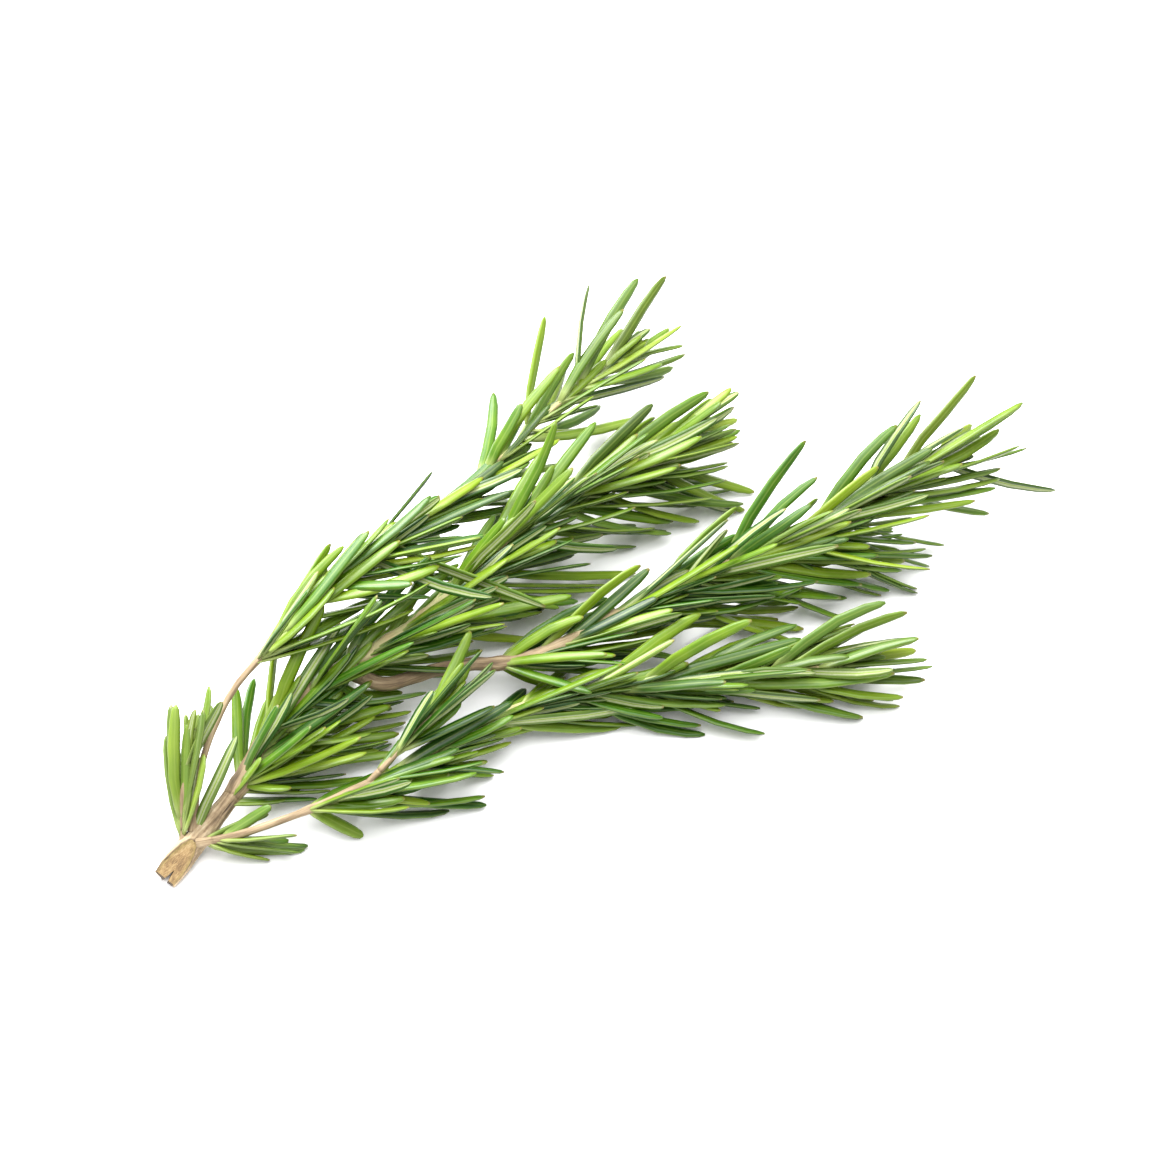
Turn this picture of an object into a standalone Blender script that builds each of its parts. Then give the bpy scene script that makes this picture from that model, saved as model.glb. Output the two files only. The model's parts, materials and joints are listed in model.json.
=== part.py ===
"""Rosemary sprig, cut and lying on its side.

A woody butt with a slanting cut end carries four leafy shoots: the middle shoot that carries the
stem on, one up on the left, one along the front and a small tuft on the left. The middle shoot
throws out the long right shoot, and the front shoot has a side twig of its own.
X runs along the sprig from the cut end to the tips, Z is up, and the sprig lies on Z = 0.
"""

import math
import random
from dataclasses import dataclass

import bmesh
import bpy
import numpy as np

MM = 0.001
UP = np.array([0.0, 0.0, 1.0])

# Leaves, in millimetres.
LEAF_WIDTH = 2.1
LEAF_THICKNESS = 1.1
REACH_LENGTH = 27.5
LEAF_STATIONS = (0.0, 0.3, 0.72, 1.0)
LEAF_WIDTH_SHARES = (0.6, 1.0, 0.95, 0.42)
LEAF_THICKNESS_SHARES = (0.9, 1.0, 0.95, 0.7)
LEAF_SECTION = ((-0.5, -0.42), (0.5, -0.38), (0.03, 0.6))

# How leaves lie on the surface and keep off each other, in millimetres.
FLOOR_CLEAR = 0.3
FLOOR_EASE = 0.8
SKIN_EASE = 0.15
SAMPLE = 1.5
OTHER_GAP = 2.45
OWN_GAP = 1.9
STEM_GAP = 1.5
FREE_FROM = 0.3
ROOT_SCATTER = 0.8
TRIES = 30
REACH_TRIES = 60
LIFT_STEP = 0.12
LOWEST_TIP = -0.5
PRESSED_SIDE = np.array([-0.16, 0.88, 0.44])
PRESSED = 0.5

# Stems, in millimetres.
STEM_SIDES = 6
STEM_STEP = 5.0
SEAM = 0.3
STUB_MARGIN = 0.5
BUTT_END = 21.0

# The cut end: a slanting slice that bares the wood, and the split in its tip.
SLICE_ANGLE = 17.0
SLICE_TURN = 24.0
SLICE_START = 0.4
SPLIT_WIDTH = 1.1
SPLIT_DEPTH = 2.4
HEEL_REACH = 7.0

# Puts the middle of the sprig's outline over the origin.
SHIFT = np.array([3.4, 0.7, 0.0])

WOOD = (0.45, 0.30, 0.16, 1.0)
GREENS = {
    "middle_shoot": (0.13, 0.27, 0.05, 1.0),
    "upper_left_shoot": (0.20, 0.36, 0.08, 1.0),
    "right_shoot": (0.16, 0.32, 0.05, 1.0),
    "front_shoot": (0.22, 0.38, 0.06, 1.0),
    "front_side_twig": (0.18, 0.33, 0.08, 1.0),
    "left_tuft": (0.17, 0.30, 0.07, 1.0),
}


@dataclass
class Shoot:
    """A leafy stem: where it runs, how thick it is, and how its leaves stand on it."""

    name: str
    parent: str
    route: tuple
    radius: tuple
    first: float
    spacing: tuple
    length: tuple
    opening: tuple
    crowd: tuple
    turn: float
    seed: int
    reach: tuple = ()


# The leaves that make the outline are given by their tips, (x, y, z) with, for a few, the place
# along the stem that they grow from. All the others follow from spacing, length and opening.
SHOOTS = (
    Shoot(
        name="middle_shoot",
        parent="",
        route=(
            (-104, -24, 1.9), (-95, -19.5, 3.4), (-85.5, -15.5, 6.5), (-72.5, -7, 10),
            (-60.5, -3, 12), (-48, -2, 13), (-36, 0, 14), (-24.5, 4.5, 15),
            (-11.5, 9, 15.5), (4, 13, 15), (21, 15.5, 14), (34, 18, 12),
        ),
        radius=(2.4, 1.7, 1.5, 1.2, 0.7),
        first=23.5,
        spacing=(12, 10, 9, 7, 6, 5, 4),
        length=(24, 26, 28, 28, 27, 25, 20, 16),
        opening=(34, 36, 38, 36, 32, 26, 18),
        crowd=(0.9, 0.9, 0.9, 0.9, 0.8),
        turn=40,
        seed=28,
        reach=(
            (27, 22, 20), (40.5, 22, 16), (44.5, 18, 13), (44, 14, 10), (42.5, 4, 0.5),
            (38.5, 1, 0), (22.5, 3.5, 4), (31.5, 9, 22), (40.5, 11, 8), (36.5, 9, 6), (39, 7, 3),
            (30.5, 6.5, 0), (17.5, 2.5, 6), (12.5, 2, 18), (-3, -0.5, 20), (3, 3, 9),
            (0.5, -1.5, 10), (6, -2.5, 5), (-12.5, -5, 6), (-16, -7, 0.5), (-27, -6, 3),
            (-54.5, 7, 22), (-52.5, 4, 20), (-57.5, 3.5, 16), (-67.5, -1, 14), (-71, -7.5, 18),
            (-53.5, -2.5, 17), (-51.5, -8, 13), (-47, -6.5, 13), (-43, -7.5, 14), (-57.5, -8.5, 9),
            (-60, -11.5, 7), (-64, -13.5, 5), (-72.5, -18, 2), (-73, -20, 0), (-63.5, -20.5, 0.5),
            (-59.5, -21, 1), (-49, -10.5, 6), (-53, -11.5, 4), (-52, -16.5, 2), (-62.5, -0.5, 9),
            (-76, 3.5, 12, 24), (-71.5, 5.5, 12, 25), (-58.5, -20, 5, 25), (-75, -21, 3, 24),
            (40.5, 12.5, 5, 123), (38, 1, 0.5, 123), (35.5, 4.5, 2, 115), (31, 2.5, 1, 111),
            (13.5, 3, 1, 99), (10.5, -2.5, 0.5, 89), (4, -2.5, 0.5, 85),
        ),
    ),
    Shoot(
        name="upper_left_shoot",
        parent="middle_shoot",
        route=(
            (-95.5, -18.5, 5), (-90, -10.5, 10), (-84.5, -5.5, 15), (-77, -0.5, 19),
            (-68, 3.5, 21), (-58.5, 8.5, 22), (-46, 14, 21), (-31.5, 18, 19), (-15.5, 22.5, 17),
            (-2.5, 28.5, 15), (7.5, 33.5, 14), (21, 38.5, 13), (30.5, 41.5, 12),
        ),
        radius=(0.8, 0.8, 0.7, 0.5),
        first=37,
        spacing=(19, 14, 9, 7, 6, 5),
        length=(27, 28, 28, 27, 24, 16),
        opening=(8, 10, 14, 20, 28, 26, 16),
        crowd=(0.4, 0.6, 0.6),
        turn=60,
        seed=32,
        reach=(
            (16, 50, 24, 116), (27.5, 52, 26, 132), (39, 51.5, 22), (47, 53.5, 16, 140),
            (44.5, 41.5, 14), (44.5, 39.5, 6), (42.5, 41, 0.5), (28.5, 29, 3), (-12.5, 21.5, 20),
            (-25.5, 18.5, 26), (-22, 2.5, 30), (-24.5, -7.5, 24), (-11, 28, 6), (-51.5, 8, 24),
            (-58, 3, 22), (-40.5, 15, 28), (-40.5, 19, 22), (-34.5, 0.5, 22), (-14.5, -11, 18),
            (-18, 8.5, 20), (1.5, 32, 24, 102), (13, 37, 24), (-21.5, 12, 24, 66),
            (-37.5, 1.5, 18, 58),
        ),
    ),
    Shoot(
        name="right_shoot",
        parent="middle_shoot",
        route=(
            (-54.5, -2, 11), (-49, -7.5, 9), (-39.5, -8.5, 8), (-31.5, -11, 8.5),
            (-24, -14.5, 9), (-14, -16, 10), (-2, -15.5, 11), (8, -15.5, 12),
            (22.5, -16, 13), (37.5, -17, 14), (53, -16, 15), (67, -14.5, 15),
            (77.5, -13.5, 14),
        ),
        radius=(1.7, 1.6, 1.2, 1.0, 0.6),
        first=32,
        spacing=(13, 12, 8, 7, 6, 5, 4),
        length=(24, 26, 28, 28, 27, 24, 16),
        opening=(30, 32, 34, 34, 30, 20, 12),
        crowd=(0.7, 0.9, 1.0, 0.8),
        turn=40,
        seed=228,
        reach=(
            (48.5, -4, 26, 83), (89, -4.5, 24), (74.5, -6, 26, 115), (97, -11.5, 18),
            (95.5, -17.5, 10), (98, -26.5, 5), (83.5, -24, 2), (26.5, -11.5, 22), (66, -29, 0.5),
            (61, -32.5, 0), (90.5, -13.5, 16), (70.5, -27, 3), (7, -11, 18), (-1, -12, 14),
            (-8, -15, 13), (0.5, -12.5, 9), (-6, -21, 1), (2, -20.5, 1), (53.5, -30.5, 0),
            (61, -24.5, 8), (48, -22.5, 10), (54, -25.5, 1), (36, -23.5, 0.5), (87, -20.5, 12),
            (19.5, -14.5, 1), (67.5, -8.5, 22), (36.5, -25.5, 1, 67), (31.5, -26, 0.5, 62),
            (23, -23, 0.5, 58), (65, -27, 5, 91), (84.5, -23, 8, 113), (67.5, -18.5, 4, 103),
            (63, -18.5, 3, 96), (42.5, -17, 24, 83), (26, -12.5, 20, 73),
        ),
    ),
    Shoot(
        name="front_shoot",
        parent="middle_shoot",
        route=(
            (-95.5, -21, 4.5), (-89, -23.5, 6), (-82, -25.5, 8), (-73.5, -26.5, 9),
            (-62.5, -27, 10), (-50, -26.5, 9), (-38, -24.5, 8), (-26.5, -23.5, 7),
            (-14.5, -26, 6.5), (-1, -31, 6.5), (12.5, -36.5, 7), (25, -41.5, 8),
            (37, -45.5, 8),
        ),
        radius=(0.9, 0.9, 0.8, 0.5),
        first=23,
        spacing=(14, 28, 28, 9, 7, 6, 5, 4),
        length=(22, 25, 27, 28, 27, 25, 24, 16),
        opening=(30, 30, 26, 30, 30, 26, 20, 12),
        crowd=(0.6, 0.8, 0.9, 0.7),
        turn=40,
        seed=66,
        reach=(
            (16, -48, 0), (-9, -33.5, 0), (43.5, -55, 0), (35.5, -54, 0), (52, -52.5, 6),
            (50.5, -47.5, 10), (50, -44, 16), (46.5, -41, 18), (20, -33.5, 20), (-41, -37.5, 1),
            (-48, -35, 0), (-31.5, -29.5, 6), (-28.5, -24.5, 12), (-65.5, -32.5, 0.5),
            (13, -25.5, 16), (7.5, -31, 12), (40.5, -40, 13), (28, -49, 6), (28.5, -45.5, 11),
            (14, -39, 0.5), (50, -53.5, 3), (43.5, -51.5, 0.5), (-53, -29.5, 9),
            (-76, -29.5, 0.5, 5.5), (-78, -30, 1.5, 4.5), (-80, -22.5, 9, 5), (-35, -26.5, 11, 37),
            (-40.5, -29, 6, 36), (-42, -36, 3, 27), (38.5, -38.5, 14, 115), (31, -33.5, 10, 104),
            (28, -31, 5, 100), (-8.5, -30.5, 1, 73),
        ),
    ),
    Shoot(
        name="front_side_twig",
        parent="front_shoot",
        route=((-61.5, -27, 10), (-55, -25.5, 13), (-49, -23.5, 14.5), (-43, -20.5, 15)),
        radius=(0.6, 0.5),
        first=3,
        spacing=(6, 5, 4),
        length=(22, 22, 18),
        opening=(20, 18, 12),
        crowd=(0.4, 0.4),
        turn=40,
        seed=3,
        reach=(
            (-31, -16.5, 22), (-38, -20.5, 14),
        ),
    ),
    Shoot(
        name="left_tuft",
        parent="middle_shoot",
        route=((-98, -20, 4), (-96.5, -16, 6), (-94, -12, 10), (-90.5, -7.5, 13)),
        radius=(0.7, 0.5),
        first=5,
        spacing=(5, 5, 4),
        length=(20, 20, 16),
        opening=(12, 12, 9),
        crowd=(0.3, 0.3),
        turn=40,
        seed=25,
        reach=(
            (-89, 0.5, 20), (-85, -4.5, 20),
        ),
    ),
)


def unit(vector):
    return vector / np.linalg.norm(vector)


def along(values, share):
    """The value at this share of the way through an evenly spaced list."""
    place = min(max(share, 0), 1) * (len(values) - 1)
    first = min(int(place), len(values) - 2)
    return values[first] + (values[first + 1] - values[first]) * (place - first)


def smooth_route(route, step=1.0):
    """Points every step along a smooth curve through the route, and how far along each one is."""
    ends = np.array(route, float)
    ends = np.vstack([2 * ends[0] - ends[1], ends, 2 * ends[-1] - ends[-2]])
    t = np.linspace(0, 1, 24, endpoint=False)[:, None]
    spans = []
    for i in range(1, len(ends) - 2):
        a, b, c, d = ends[i - 1 : i + 3]
        bend = (2 * a - 5 * b + 4 * c - d) * t**2 + (3 * b - a - 3 * c + d) * t**3
        spans.append(0.5 * (2 * b + (c - a) * t + bend))
    spans.append(ends[-2:-1])
    fine = np.concatenate(spans)
    run = np.concatenate([[0], np.cumsum(np.linalg.norm(np.diff(fine, axis=0), axis=1))])
    at = np.linspace(0, run[-1], int(run[-1] / step) + 1)
    return np.stack([np.interp(at, run, fine[:, k]) for k in range(3)], 1), at


class Stem:
    """A shoot's stem, measured by the distance along it."""

    def __init__(self, shoot):
        self.shoot = shoot
        self.points, self.at = smooth_route(shoot.route)
        self.length = self.at[-1]

    def point(self, s):
        return np.array([np.interp(s, self.at, self.points[:, k]) for k in range(3)])

    def frame(self, s):
        ahead = self.point(min(s + 1.5, self.length))
        behind = self.point(max(s - 1.5, 0))
        tangent = unit(ahead - behind)
        up = unit(UP - tangent * (UP @ tangent))
        return tangent, up, np.cross(tangent, up)

    def outward(self, s, azimuth):
        """Straight out from the stem, at this angle round it."""
        _, up, side = self.frame(s)
        around = math.radians(azimuth)
        return math.cos(around) * up + math.sin(around) * side

    def radius(self, s):
        return along(self.shoot.radius, s / self.length)

    def nodes(self):
        """Where along the stem its pairs of leaves grow."""
        shoot = self.shoot
        found = []
        s = shoot.first
        while s < self.length - 0.5:
            found.append(s)
            s += along(shoot.spacing, (s - shoot.first) / (self.length - shoot.first))
        return found


@dataclass
class Leaf:
    """One leaf, as the curve down its middle and the way its upper face looks."""

    shoot: str
    root: np.ndarray
    knee: np.ndarray
    tip: np.ndarray
    face: np.ndarray
    width: float
    tone: float
    length: float
    roll: float

    def points(self, t):
        """Points along the middle, eased on to the surface where they would go below it."""
        t = np.asarray(t, float)[:, None]
        p = (1 - t) ** 2 * self.root + 2 * t * (1 - t) * self.knee + t**2 * self.tip
        over = p[:, 2] - FLOOR_CLEAR
        p[:, 2] = FLOOR_CLEAR + 0.5 * (over + np.sqrt(over**2 + FLOOR_EASE**2))
        return p

    def samples(self):
        return self.points(np.linspace(0, 1, max(int(self.length / SAMPLE), 6)))


def drawn_leaf(stem, s, azimuth, opening, length, bow, roll, width, tone):
    """A leaf that stands out from the stem at these angles."""
    tangent = stem.frame(s)[0]
    out = stem.outward(s, azimuth)
    start = math.radians(opening)
    end = math.radians(opening - bow)
    first = math.cos(start) * tangent + math.sin(start) * out
    second = math.cos(end) * tangent + math.sin(end) * out
    root = stem.point(s)
    knee = root + first * length * 0.5
    tip = knee + second * length * 0.5
    face = unit(tangent - first * (tangent @ first))
    return Leaf(stem.shoot.name, root, knee, tip, face, width, tone, length, roll)


def reaching_leaf(stem, tip, start, rng, lift, bulge, slide):
    """A leaf that ends at a given tip, from the place on the stem that suits its length."""
    tip = np.array(tip, float) + UP * lift
    best = None
    places = np.arange(stem.shoot.first, stem.length, 1.0) if start is None else (start,)
    for s in places:
        tangent = stem.frame(s)[0]
        chord = tip - stem.point(s)
        size = np.linalg.norm(chord)
        angle = math.degrees(math.acos(max(-1, min(1, chord @ tangent / size))))
        cost = abs(size - REACH_LENGTH - slide) + 0.3 * max(0, angle - 34)
        if best is None or cost < best[0]:
            best = (cost, s, chord, size, tangent)
    _, s, chord, size, tangent = best
    ahead = chord / size
    out = unit(ahead - tangent * (ahead @ tangent))
    root = stem.point(s)
    knee = root + chord * 0.5 + unit(out - ahead * (out @ ahead)) * size * bulge
    face = unit(tangent - ahead * (tangent @ ahead))
    width = LEAF_WIDTH * rng.uniform(0.95, 1.1)
    tone = rng.random()
    roll = rng.uniform(-35, 35)
    return Leaf(stem.shoot.name, root, knee, tip, face, width, tone, size, roll)


class Plant:
    """The stems and the leaves placed so far."""

    def __init__(self, shoots):
        self.stems = {shoot.name: Stem(shoot) for shoot in shoots}
        self.leaves = []
        self.taken = {}
        self.stem_points = {}
        for name, stem in self.stems.items():
            radii = np.array([stem.radius(s) for s in stem.at[6:]])
            self.stem_points[name] = (stem.points[6:], radii)

    def keep(self, leaf):
        self.leaves.append(leaf)
        self.taken.setdefault(leaf.shoot, []).append(leaf.samples())

    def clear(self, leaf):
        """Whether a leaf keeps off the other shoots, and its outer part off its neighbours."""
        here = leaf.samples()
        outer = here[int(len(here) * FREE_FROM) :]
        for name, arrays in self.taken.items():
            if name == leaf.shoot:
                there = np.concatenate([a[int(len(a) * FREE_FROM) :] for a in arrays])
                if ((outer[:, None] - there[None]) ** 2).sum(2).min() < OWN_GAP**2:
                    return False
                continue
            there = np.concatenate(arrays)
            if ((here[:, None] - there[None]) ** 2).sum(2).min() < OTHER_GAP**2:
                return False
        for name, (there, radii) in self.stem_points.items():
            if name == leaf.shoot:
                continue
            away = np.sqrt(((here[:, None] - there[None]) ** 2).sum(2)) - radii[None]
            if away.min() < STEM_GAP:
                return False
        return True

    def reach(self, shoot):
        """The leaves that make the outline, each bent a little until it is clear."""
        rng = random.Random(shoot.seed * 7 + 3)
        stem = self.stems[shoot.name]
        for place in shoot.reach:
            start = place[3] if len(place) > 3 else None
            for n in range(REACH_TRIES):
                lift = rng.gauss(0, LIFT_STEP * n)
                bulge = 0.03 + 0.05 * rng.random()
                slide = rng.gauss(0, 0.12 * n)
                leaf = reaching_leaf(stem, place[:3], start, rng, lift, bulge, slide)
                if leaf.tip[2] > LOWEST_TIP and self.clear(leaf):
                    self.keep(leaf)
                    break

    def fill(self, shoot):
        """The opposite pairs, each turned a quarter from the last, and the leaves between them."""
        stem = self.stems[shoot.name]
        for k, s in enumerate(stem.nodes()):
            share = (s - shoot.first) / max(stem.length - shoot.first, 1)
            rng = random.Random(shoot.seed * 1009 + k)
            base = shoot.turn + 90 * (k % 2) + rng.uniform(-18, 18)
            wanted = []
            for half in (0, 180):
                wanted.append((base + half, 1.0, 1.0))
                crowd = along(shoot.crowd, share)
                while rng.random() < crowd:
                    crowd -= 0.75
                    azimuth = base + half + rng.uniform(-55, 55)
                    wanted.append((azimuth, rng.uniform(0.5, 0.95), rng.uniform(0.5, 1.0)))
            for azimuth, length_share, opening_share in wanted:
                self.place(stem, s, share, azimuth, length_share, opening_share, rng)

    def place(self, stem, s, share, azimuth, length_share, opening_share, rng):
        """One leaf, turned a little at a time until it is clear, or left out."""
        shoot = stem.shoot
        opening_share *= 1 - PRESSED * max(0.0, stem.outward(s, azimuth) @ PRESSED_SIDE)
        length = along(shoot.length, share) * length_share * rng.uniform(0.86, 1.14)
        opening = along(shoot.opening, share) * opening_share + rng.uniform(-6, 6)
        bow = rng.uniform(-6, 16)
        roll = rng.uniform(-35, 35)
        width = LEAF_WIDTH * rng.uniform(0.86, 1.1) * (0.8 + 0.2 * length_share)
        tone = rng.random()
        root = min(s + rng.uniform(-ROOT_SCATTER, ROOT_SCATTER), stem.length - 0.3)
        for n in range(TRIES):
            spread = 1.5 * n
            around = azimuth + rng.gauss(0, spread)
            out = max(4, opening + rng.gauss(0, spread * 0.25))
            leaf = drawn_leaf(stem, root, around, out, length, bow, roll, width, tone)
            if self.clear(leaf):
                self.keep(leaf)
                return


def grow(shoots):
    plant = Plant(shoots)
    for shoot in shoots:
        plant.reach(shoot)
    for shoot in shoots:
        plant.fill(shoot)
    return plant


def lie_on_surface(points):
    """Eases what would go below the surface up on to it."""
    points = np.array(points, float)
    points[:, 2] = 0.5 * (points[:, 2] + np.sqrt(points[:, 2] ** 2 + SKIN_EASE**2))
    return points


def sweep(bm, rings):
    """Extrudes the first ring of points through the others, as one closed body."""
    corners = [bm.verts.new(p) for p in rings[0]]
    face = bm.faces.new(corners)
    for number, ring in enumerate(rings[1:]):
        made = bmesh.ops.extrude_face_region(bm, geom=[face])["geom"]
        if number > 0:
            bm.faces.remove(face)
        face = next(item for item in made if isinstance(item, bmesh.types.BMFace))
        fresh = list(face.verts)
        moved = []
        for corner in corners:
            vert = min(fresh, key=lambda v: (v.co - corner.co).length)
            fresh.remove(vert)
            moved.append(vert)
        for vert, place in zip(moved, ring):
            vert.co = place
        corners = moved
    bmesh.ops.recalc_face_normals(bm, faces=bm.faces[:])


def leaf_template():
    """A straight leaf: x is the share of its length, y and z shares of width and thickness."""
    rings = []
    for t, wide, thick in zip(LEAF_STATIONS, LEAF_WIDTH_SHARES, LEAF_THICKNESS_SHARES):
        rings.append([(t, y * wide, z * thick) for y, z in LEAF_SECTION])
    bm = bmesh.new()
    sweep(bm, rings)
    mesh = bpy.data.meshes.new("leaf")
    bm.to_mesh(mesh)
    bm.free()
    return mesh


def bend_leaf(flat, leaf):
    """The template's points carried on to a leaf's curve, in millimetres."""
    t = flat[:, 0]
    middle = leaf.points(t)
    tangent = leaf.points(np.minimum(t + 0.03, 1)) - leaf.points(np.maximum(t - 0.03, 0))
    tangent /= np.linalg.norm(tangent, axis=1)[:, None]
    normal = leaf.face - tangent * (tangent @ leaf.face)[:, None]
    normal /= np.linalg.norm(normal, axis=1)[:, None]
    side = np.cross(normal, tangent)
    roll = math.radians(leaf.roll)
    across = math.cos(roll) * side + math.sin(roll) * normal
    over = math.cos(roll) * normal - math.sin(roll) * side
    wide = across * (flat[:, 1] * leaf.width)[:, None]
    thick = over * (flat[:, 2] * LEAF_THICKNESS)[:, None]
    return middle + wide + thick


def stem_ring(stem, s, radius):
    _, up, side = stem.frame(s)
    angles = [2 * math.pi * (k + 0.5) / STEM_SIDES for k in range(STEM_SIDES)]
    centre = stem.point(s)
    return [centre + radius * (math.cos(a) * side + math.sin(a) * up) for a in angles]


def stem_rings(stem, start, end, radius_at):
    count = max(int(round((end - start) / STEM_STEP)), 1) + 1
    return [stem_ring(stem, s, radius_at(s)) for s in np.linspace(start, end, count)]


def placed(points):
    return (np.asarray(points, float) + SHIFT) * MM


def world(points):
    return placed(lie_on_surface(points))


def add_object(name, rings, place=world):
    bm = bmesh.new()
    sweep(bm, [place(ring) for ring in rings])
    mesh = bpy.data.meshes.new(name)
    bm.to_mesh(mesh)
    bm.free()
    return bpy.data.objects.new(name, mesh)


def stub_end(parent, stem):
    """How far along a side stem its first free point outside the parent stem is."""
    for s in np.arange(1.0, stem.length, 0.25):
        away = np.linalg.norm(parent.points - stem.point(s), axis=1)
        radii = np.array([parent.radius(a) for a in parent.at])
        if (away - radii).min() > stem.radius(s) + STUB_MARGIN:
            return s
    return 0.0


def solid_material(name, colour, roughness):
    material = bpy.data.materials.new(name)
    material.use_nodes = True
    shader = material.node_tree.nodes["Principled BSDF"]
    shader.inputs["Base Color"].default_value = colour
    shader.inputs["Roughness"].default_value = roughness
    return material


def combine(target, others, operation, solver="EXACT"):
    """Joins the other objects to the target, or cuts them from it, in one Boolean."""
    group = bpy.data.collections.new(target.name + "_pieces")
    bpy.context.scene.collection.children.link(group)
    for other in others:
        group.objects.link(other)
    boolean = target.modifiers.new("pieces", "BOOLEAN")
    boolean.operation = operation
    boolean.operand_type = "COLLECTION"
    boolean.collection = group
    boolean.solver = solver
    bpy.context.view_layer.update()
    graph = bpy.context.evaluated_depsgraph_get()
    mesh = bpy.data.meshes.new_from_object(target.evaluated_get(graph))
    keep_one_body(mesh)
    target.modifiers.clear()
    target.data = mesh
    for other in others:
        bpy.data.objects.remove(other)
    bpy.data.collections.remove(group)


def keep_one_body(mesh):
    """Drops what a union leaves apart from the main body: the skin of a sealed hollow, or a scrap."""
    bm = bmesh.new()
    bm.from_mesh(mesh)
    waiting = set(bm.faces)
    groups = []
    while waiting:
        group = [waiting.pop()]
        for face in group:
            for edge in face.edges:
                if len(edge.link_faces) != 2:
                    continue
                for other in edge.link_faces:
                    if other in waiting:
                        waiting.remove(other)
                        group.append(other)
        groups.append(group)
    groups.sort(key=len)
    for group in groups[:-1]:
        bmesh.ops.delete(bm, geom=group, context="FACES")
    bm.to_mesh(mesh)
    bm.free()


def butt_radius(s):
    """The butt swells where the side stems leave it and narrows towards the first leaves."""
    return 1.75 + 0.85 * math.exp(-(((s - 5.0) / 8.5) ** 2))


def block(name, rows):
    """A closed block with eight corners, given as the bottom four and the top four."""
    bm = bmesh.new()
    sweep(bm, [rows[:4], rows[4:]])
    mesh = bpy.data.meshes.new(name)
    bm.to_mesh(mesh)
    bm.free()
    return bpy.data.objects.new(name, mesh)


def cut_end(stem):
    """The tools that slice the end, split its tip and flatten the heel that it rests on."""
    tangent, up, side = stem.frame(1.0)
    turn = math.radians(SLICE_TURN)
    lean = math.radians(SLICE_ANGLE)
    facing = math.cos(turn) * up + math.sin(turn) * side
    across = np.cross(tangent, facing)
    run = math.cos(lean) * tangent + math.sin(lean) * facing
    lift = math.cos(lean) * facing - math.sin(lean) * tangent
    start = stem.point(0.0) + facing * SLICE_START
    tools = []
    rows = []
    for height in (0.0, 12.0):
        for a, b in ((-6, -8), (30, -8), (30, 8), (-6, 8)):
            rows.append(placed(start + run * a + across * b + lift * height))
    tools.append(block("slice", rows))
    rows = []
    for height in (-8.0, 8.0):
        for a, b in ((-4, -SPLIT_WIDTH), (SPLIT_DEPTH, -0.05), (SPLIT_DEPTH, 0.05), (-4, SPLIT_WIDTH)):
            place = stem.point(0.0) + tangent * a + across * (b + 0.4) + facing * height
            rows.append(placed(place))
    tools.append(block("split", rows))
    heel = stem.point(HEEL_REACH / 2)
    rows = []
    for height in (-9.0, 0.0):
        for a, b in ((-15, -15), (15, -15), (15, 15), (-15, 15)):
            rows.append(placed((heel[0] + a, heel[1] + b, height)))
    tools.append(block("heel", rows))
    return tools


def woody_butt(plant, stubs):
    """The bare foot of the main stem, with the stub that each side stem grows from."""
    stem = plant.stems["middle_shoot"]
    butt = add_object("woody_butt", stem_rings(stem, 0.0, BUTT_END, butt_radius), placed)
    bpy.context.scene.collection.objects.link(butt)
    combine(butt, cut_end(stem), "DIFFERENCE")
    pieces = []
    for name, end in stubs.items():
        side = plant.stems[name]
        pieces.append(add_object(name + "_stub", stem_rings(side, 0.0, end, side_radius(side))))
    combine(butt, pieces, "UNION")
    return butt


def side_radius(stem):
    """A side stem's radius, with the swelling at its foot."""
    return lambda s: stem.radius(s) * (1.0 + 0.45 * math.exp(-s / 2.5))


def leafy_stem(plant, name, start, stubs, template):
    """One shoot: its stem, the stubs of its side stems and all its leaves in one body."""
    stem = plant.stems[name]
    body = add_object(name, stem_rings(stem, start, stem.length, stem.radius))
    bpy.context.scene.collection.objects.link(body)
    pieces = []
    for side_name, end in stubs.items():
        side = plant.stems[side_name]
        pieces.append(add_object(side_name + "_stub", stem_rings(side, 0.0, end, side_radius(side))))
    flat = np.empty(len(template.vertices) * 3)
    template.vertices.foreach_get("co", flat)
    flat = flat.reshape(-1, 3)
    for leaf in plant.leaves:
        if leaf.shoot != name:
            continue
        mesh = template.copy()
        mesh.vertices.foreach_set("co", world(bend_leaf(flat, leaf)).ravel())
        pieces.append(bpy.data.objects.new("leaf", mesh))
    combine(body, pieces, "UNION", "MANIFOLD")
    return body


def build():
    for obj in list(bpy.data.objects):
        bpy.data.objects.remove(obj)
    plant = grow(SHOOTS)
    template = leaf_template()
    stubs = {}
    for shoot in SHOOTS[1:]:
        parent = plant.stems[shoot.parent]
        stubs[shoot.name] = stub_end(parent, plant.stems[shoot.name])
    on_butt = {name: stubs[name] for name in ("upper_left_shoot", "front_shoot", "left_tuft")}
    butt = woody_butt(plant, on_butt)
    butt.data.materials.clear()
    butt.data.materials.append(solid_material("woody_butt", WOOD, 0.8))
    for shoot in SHOOTS:
        start = stubs[shoot.name] + SEAM if shoot.parent else BUTT_END + SEAM
        carried = {}
        for other in SHOOTS:
            if other.parent == shoot.name and other.name not in on_butt:
                carried[other.name] = stubs[other.name]
        body = leafy_stem(plant, shoot.name, start, carried, template)
        body.data.materials.clear()
        body.data.materials.append(solid_material(shoot.name, GREENS[shoot.name], 0.45))
        body.data.shade_flat()
    bpy.data.meshes.remove(template)


build()
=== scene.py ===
"""Rosemary sprig, cut and lying on its side.

The finished stems, leaves and cut end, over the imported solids.
"""

import json
import math
import random
from dataclasses import dataclass

import bmesh
import bpy
import numpy as np
from mathutils import Matrix, Vector, noise

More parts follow.
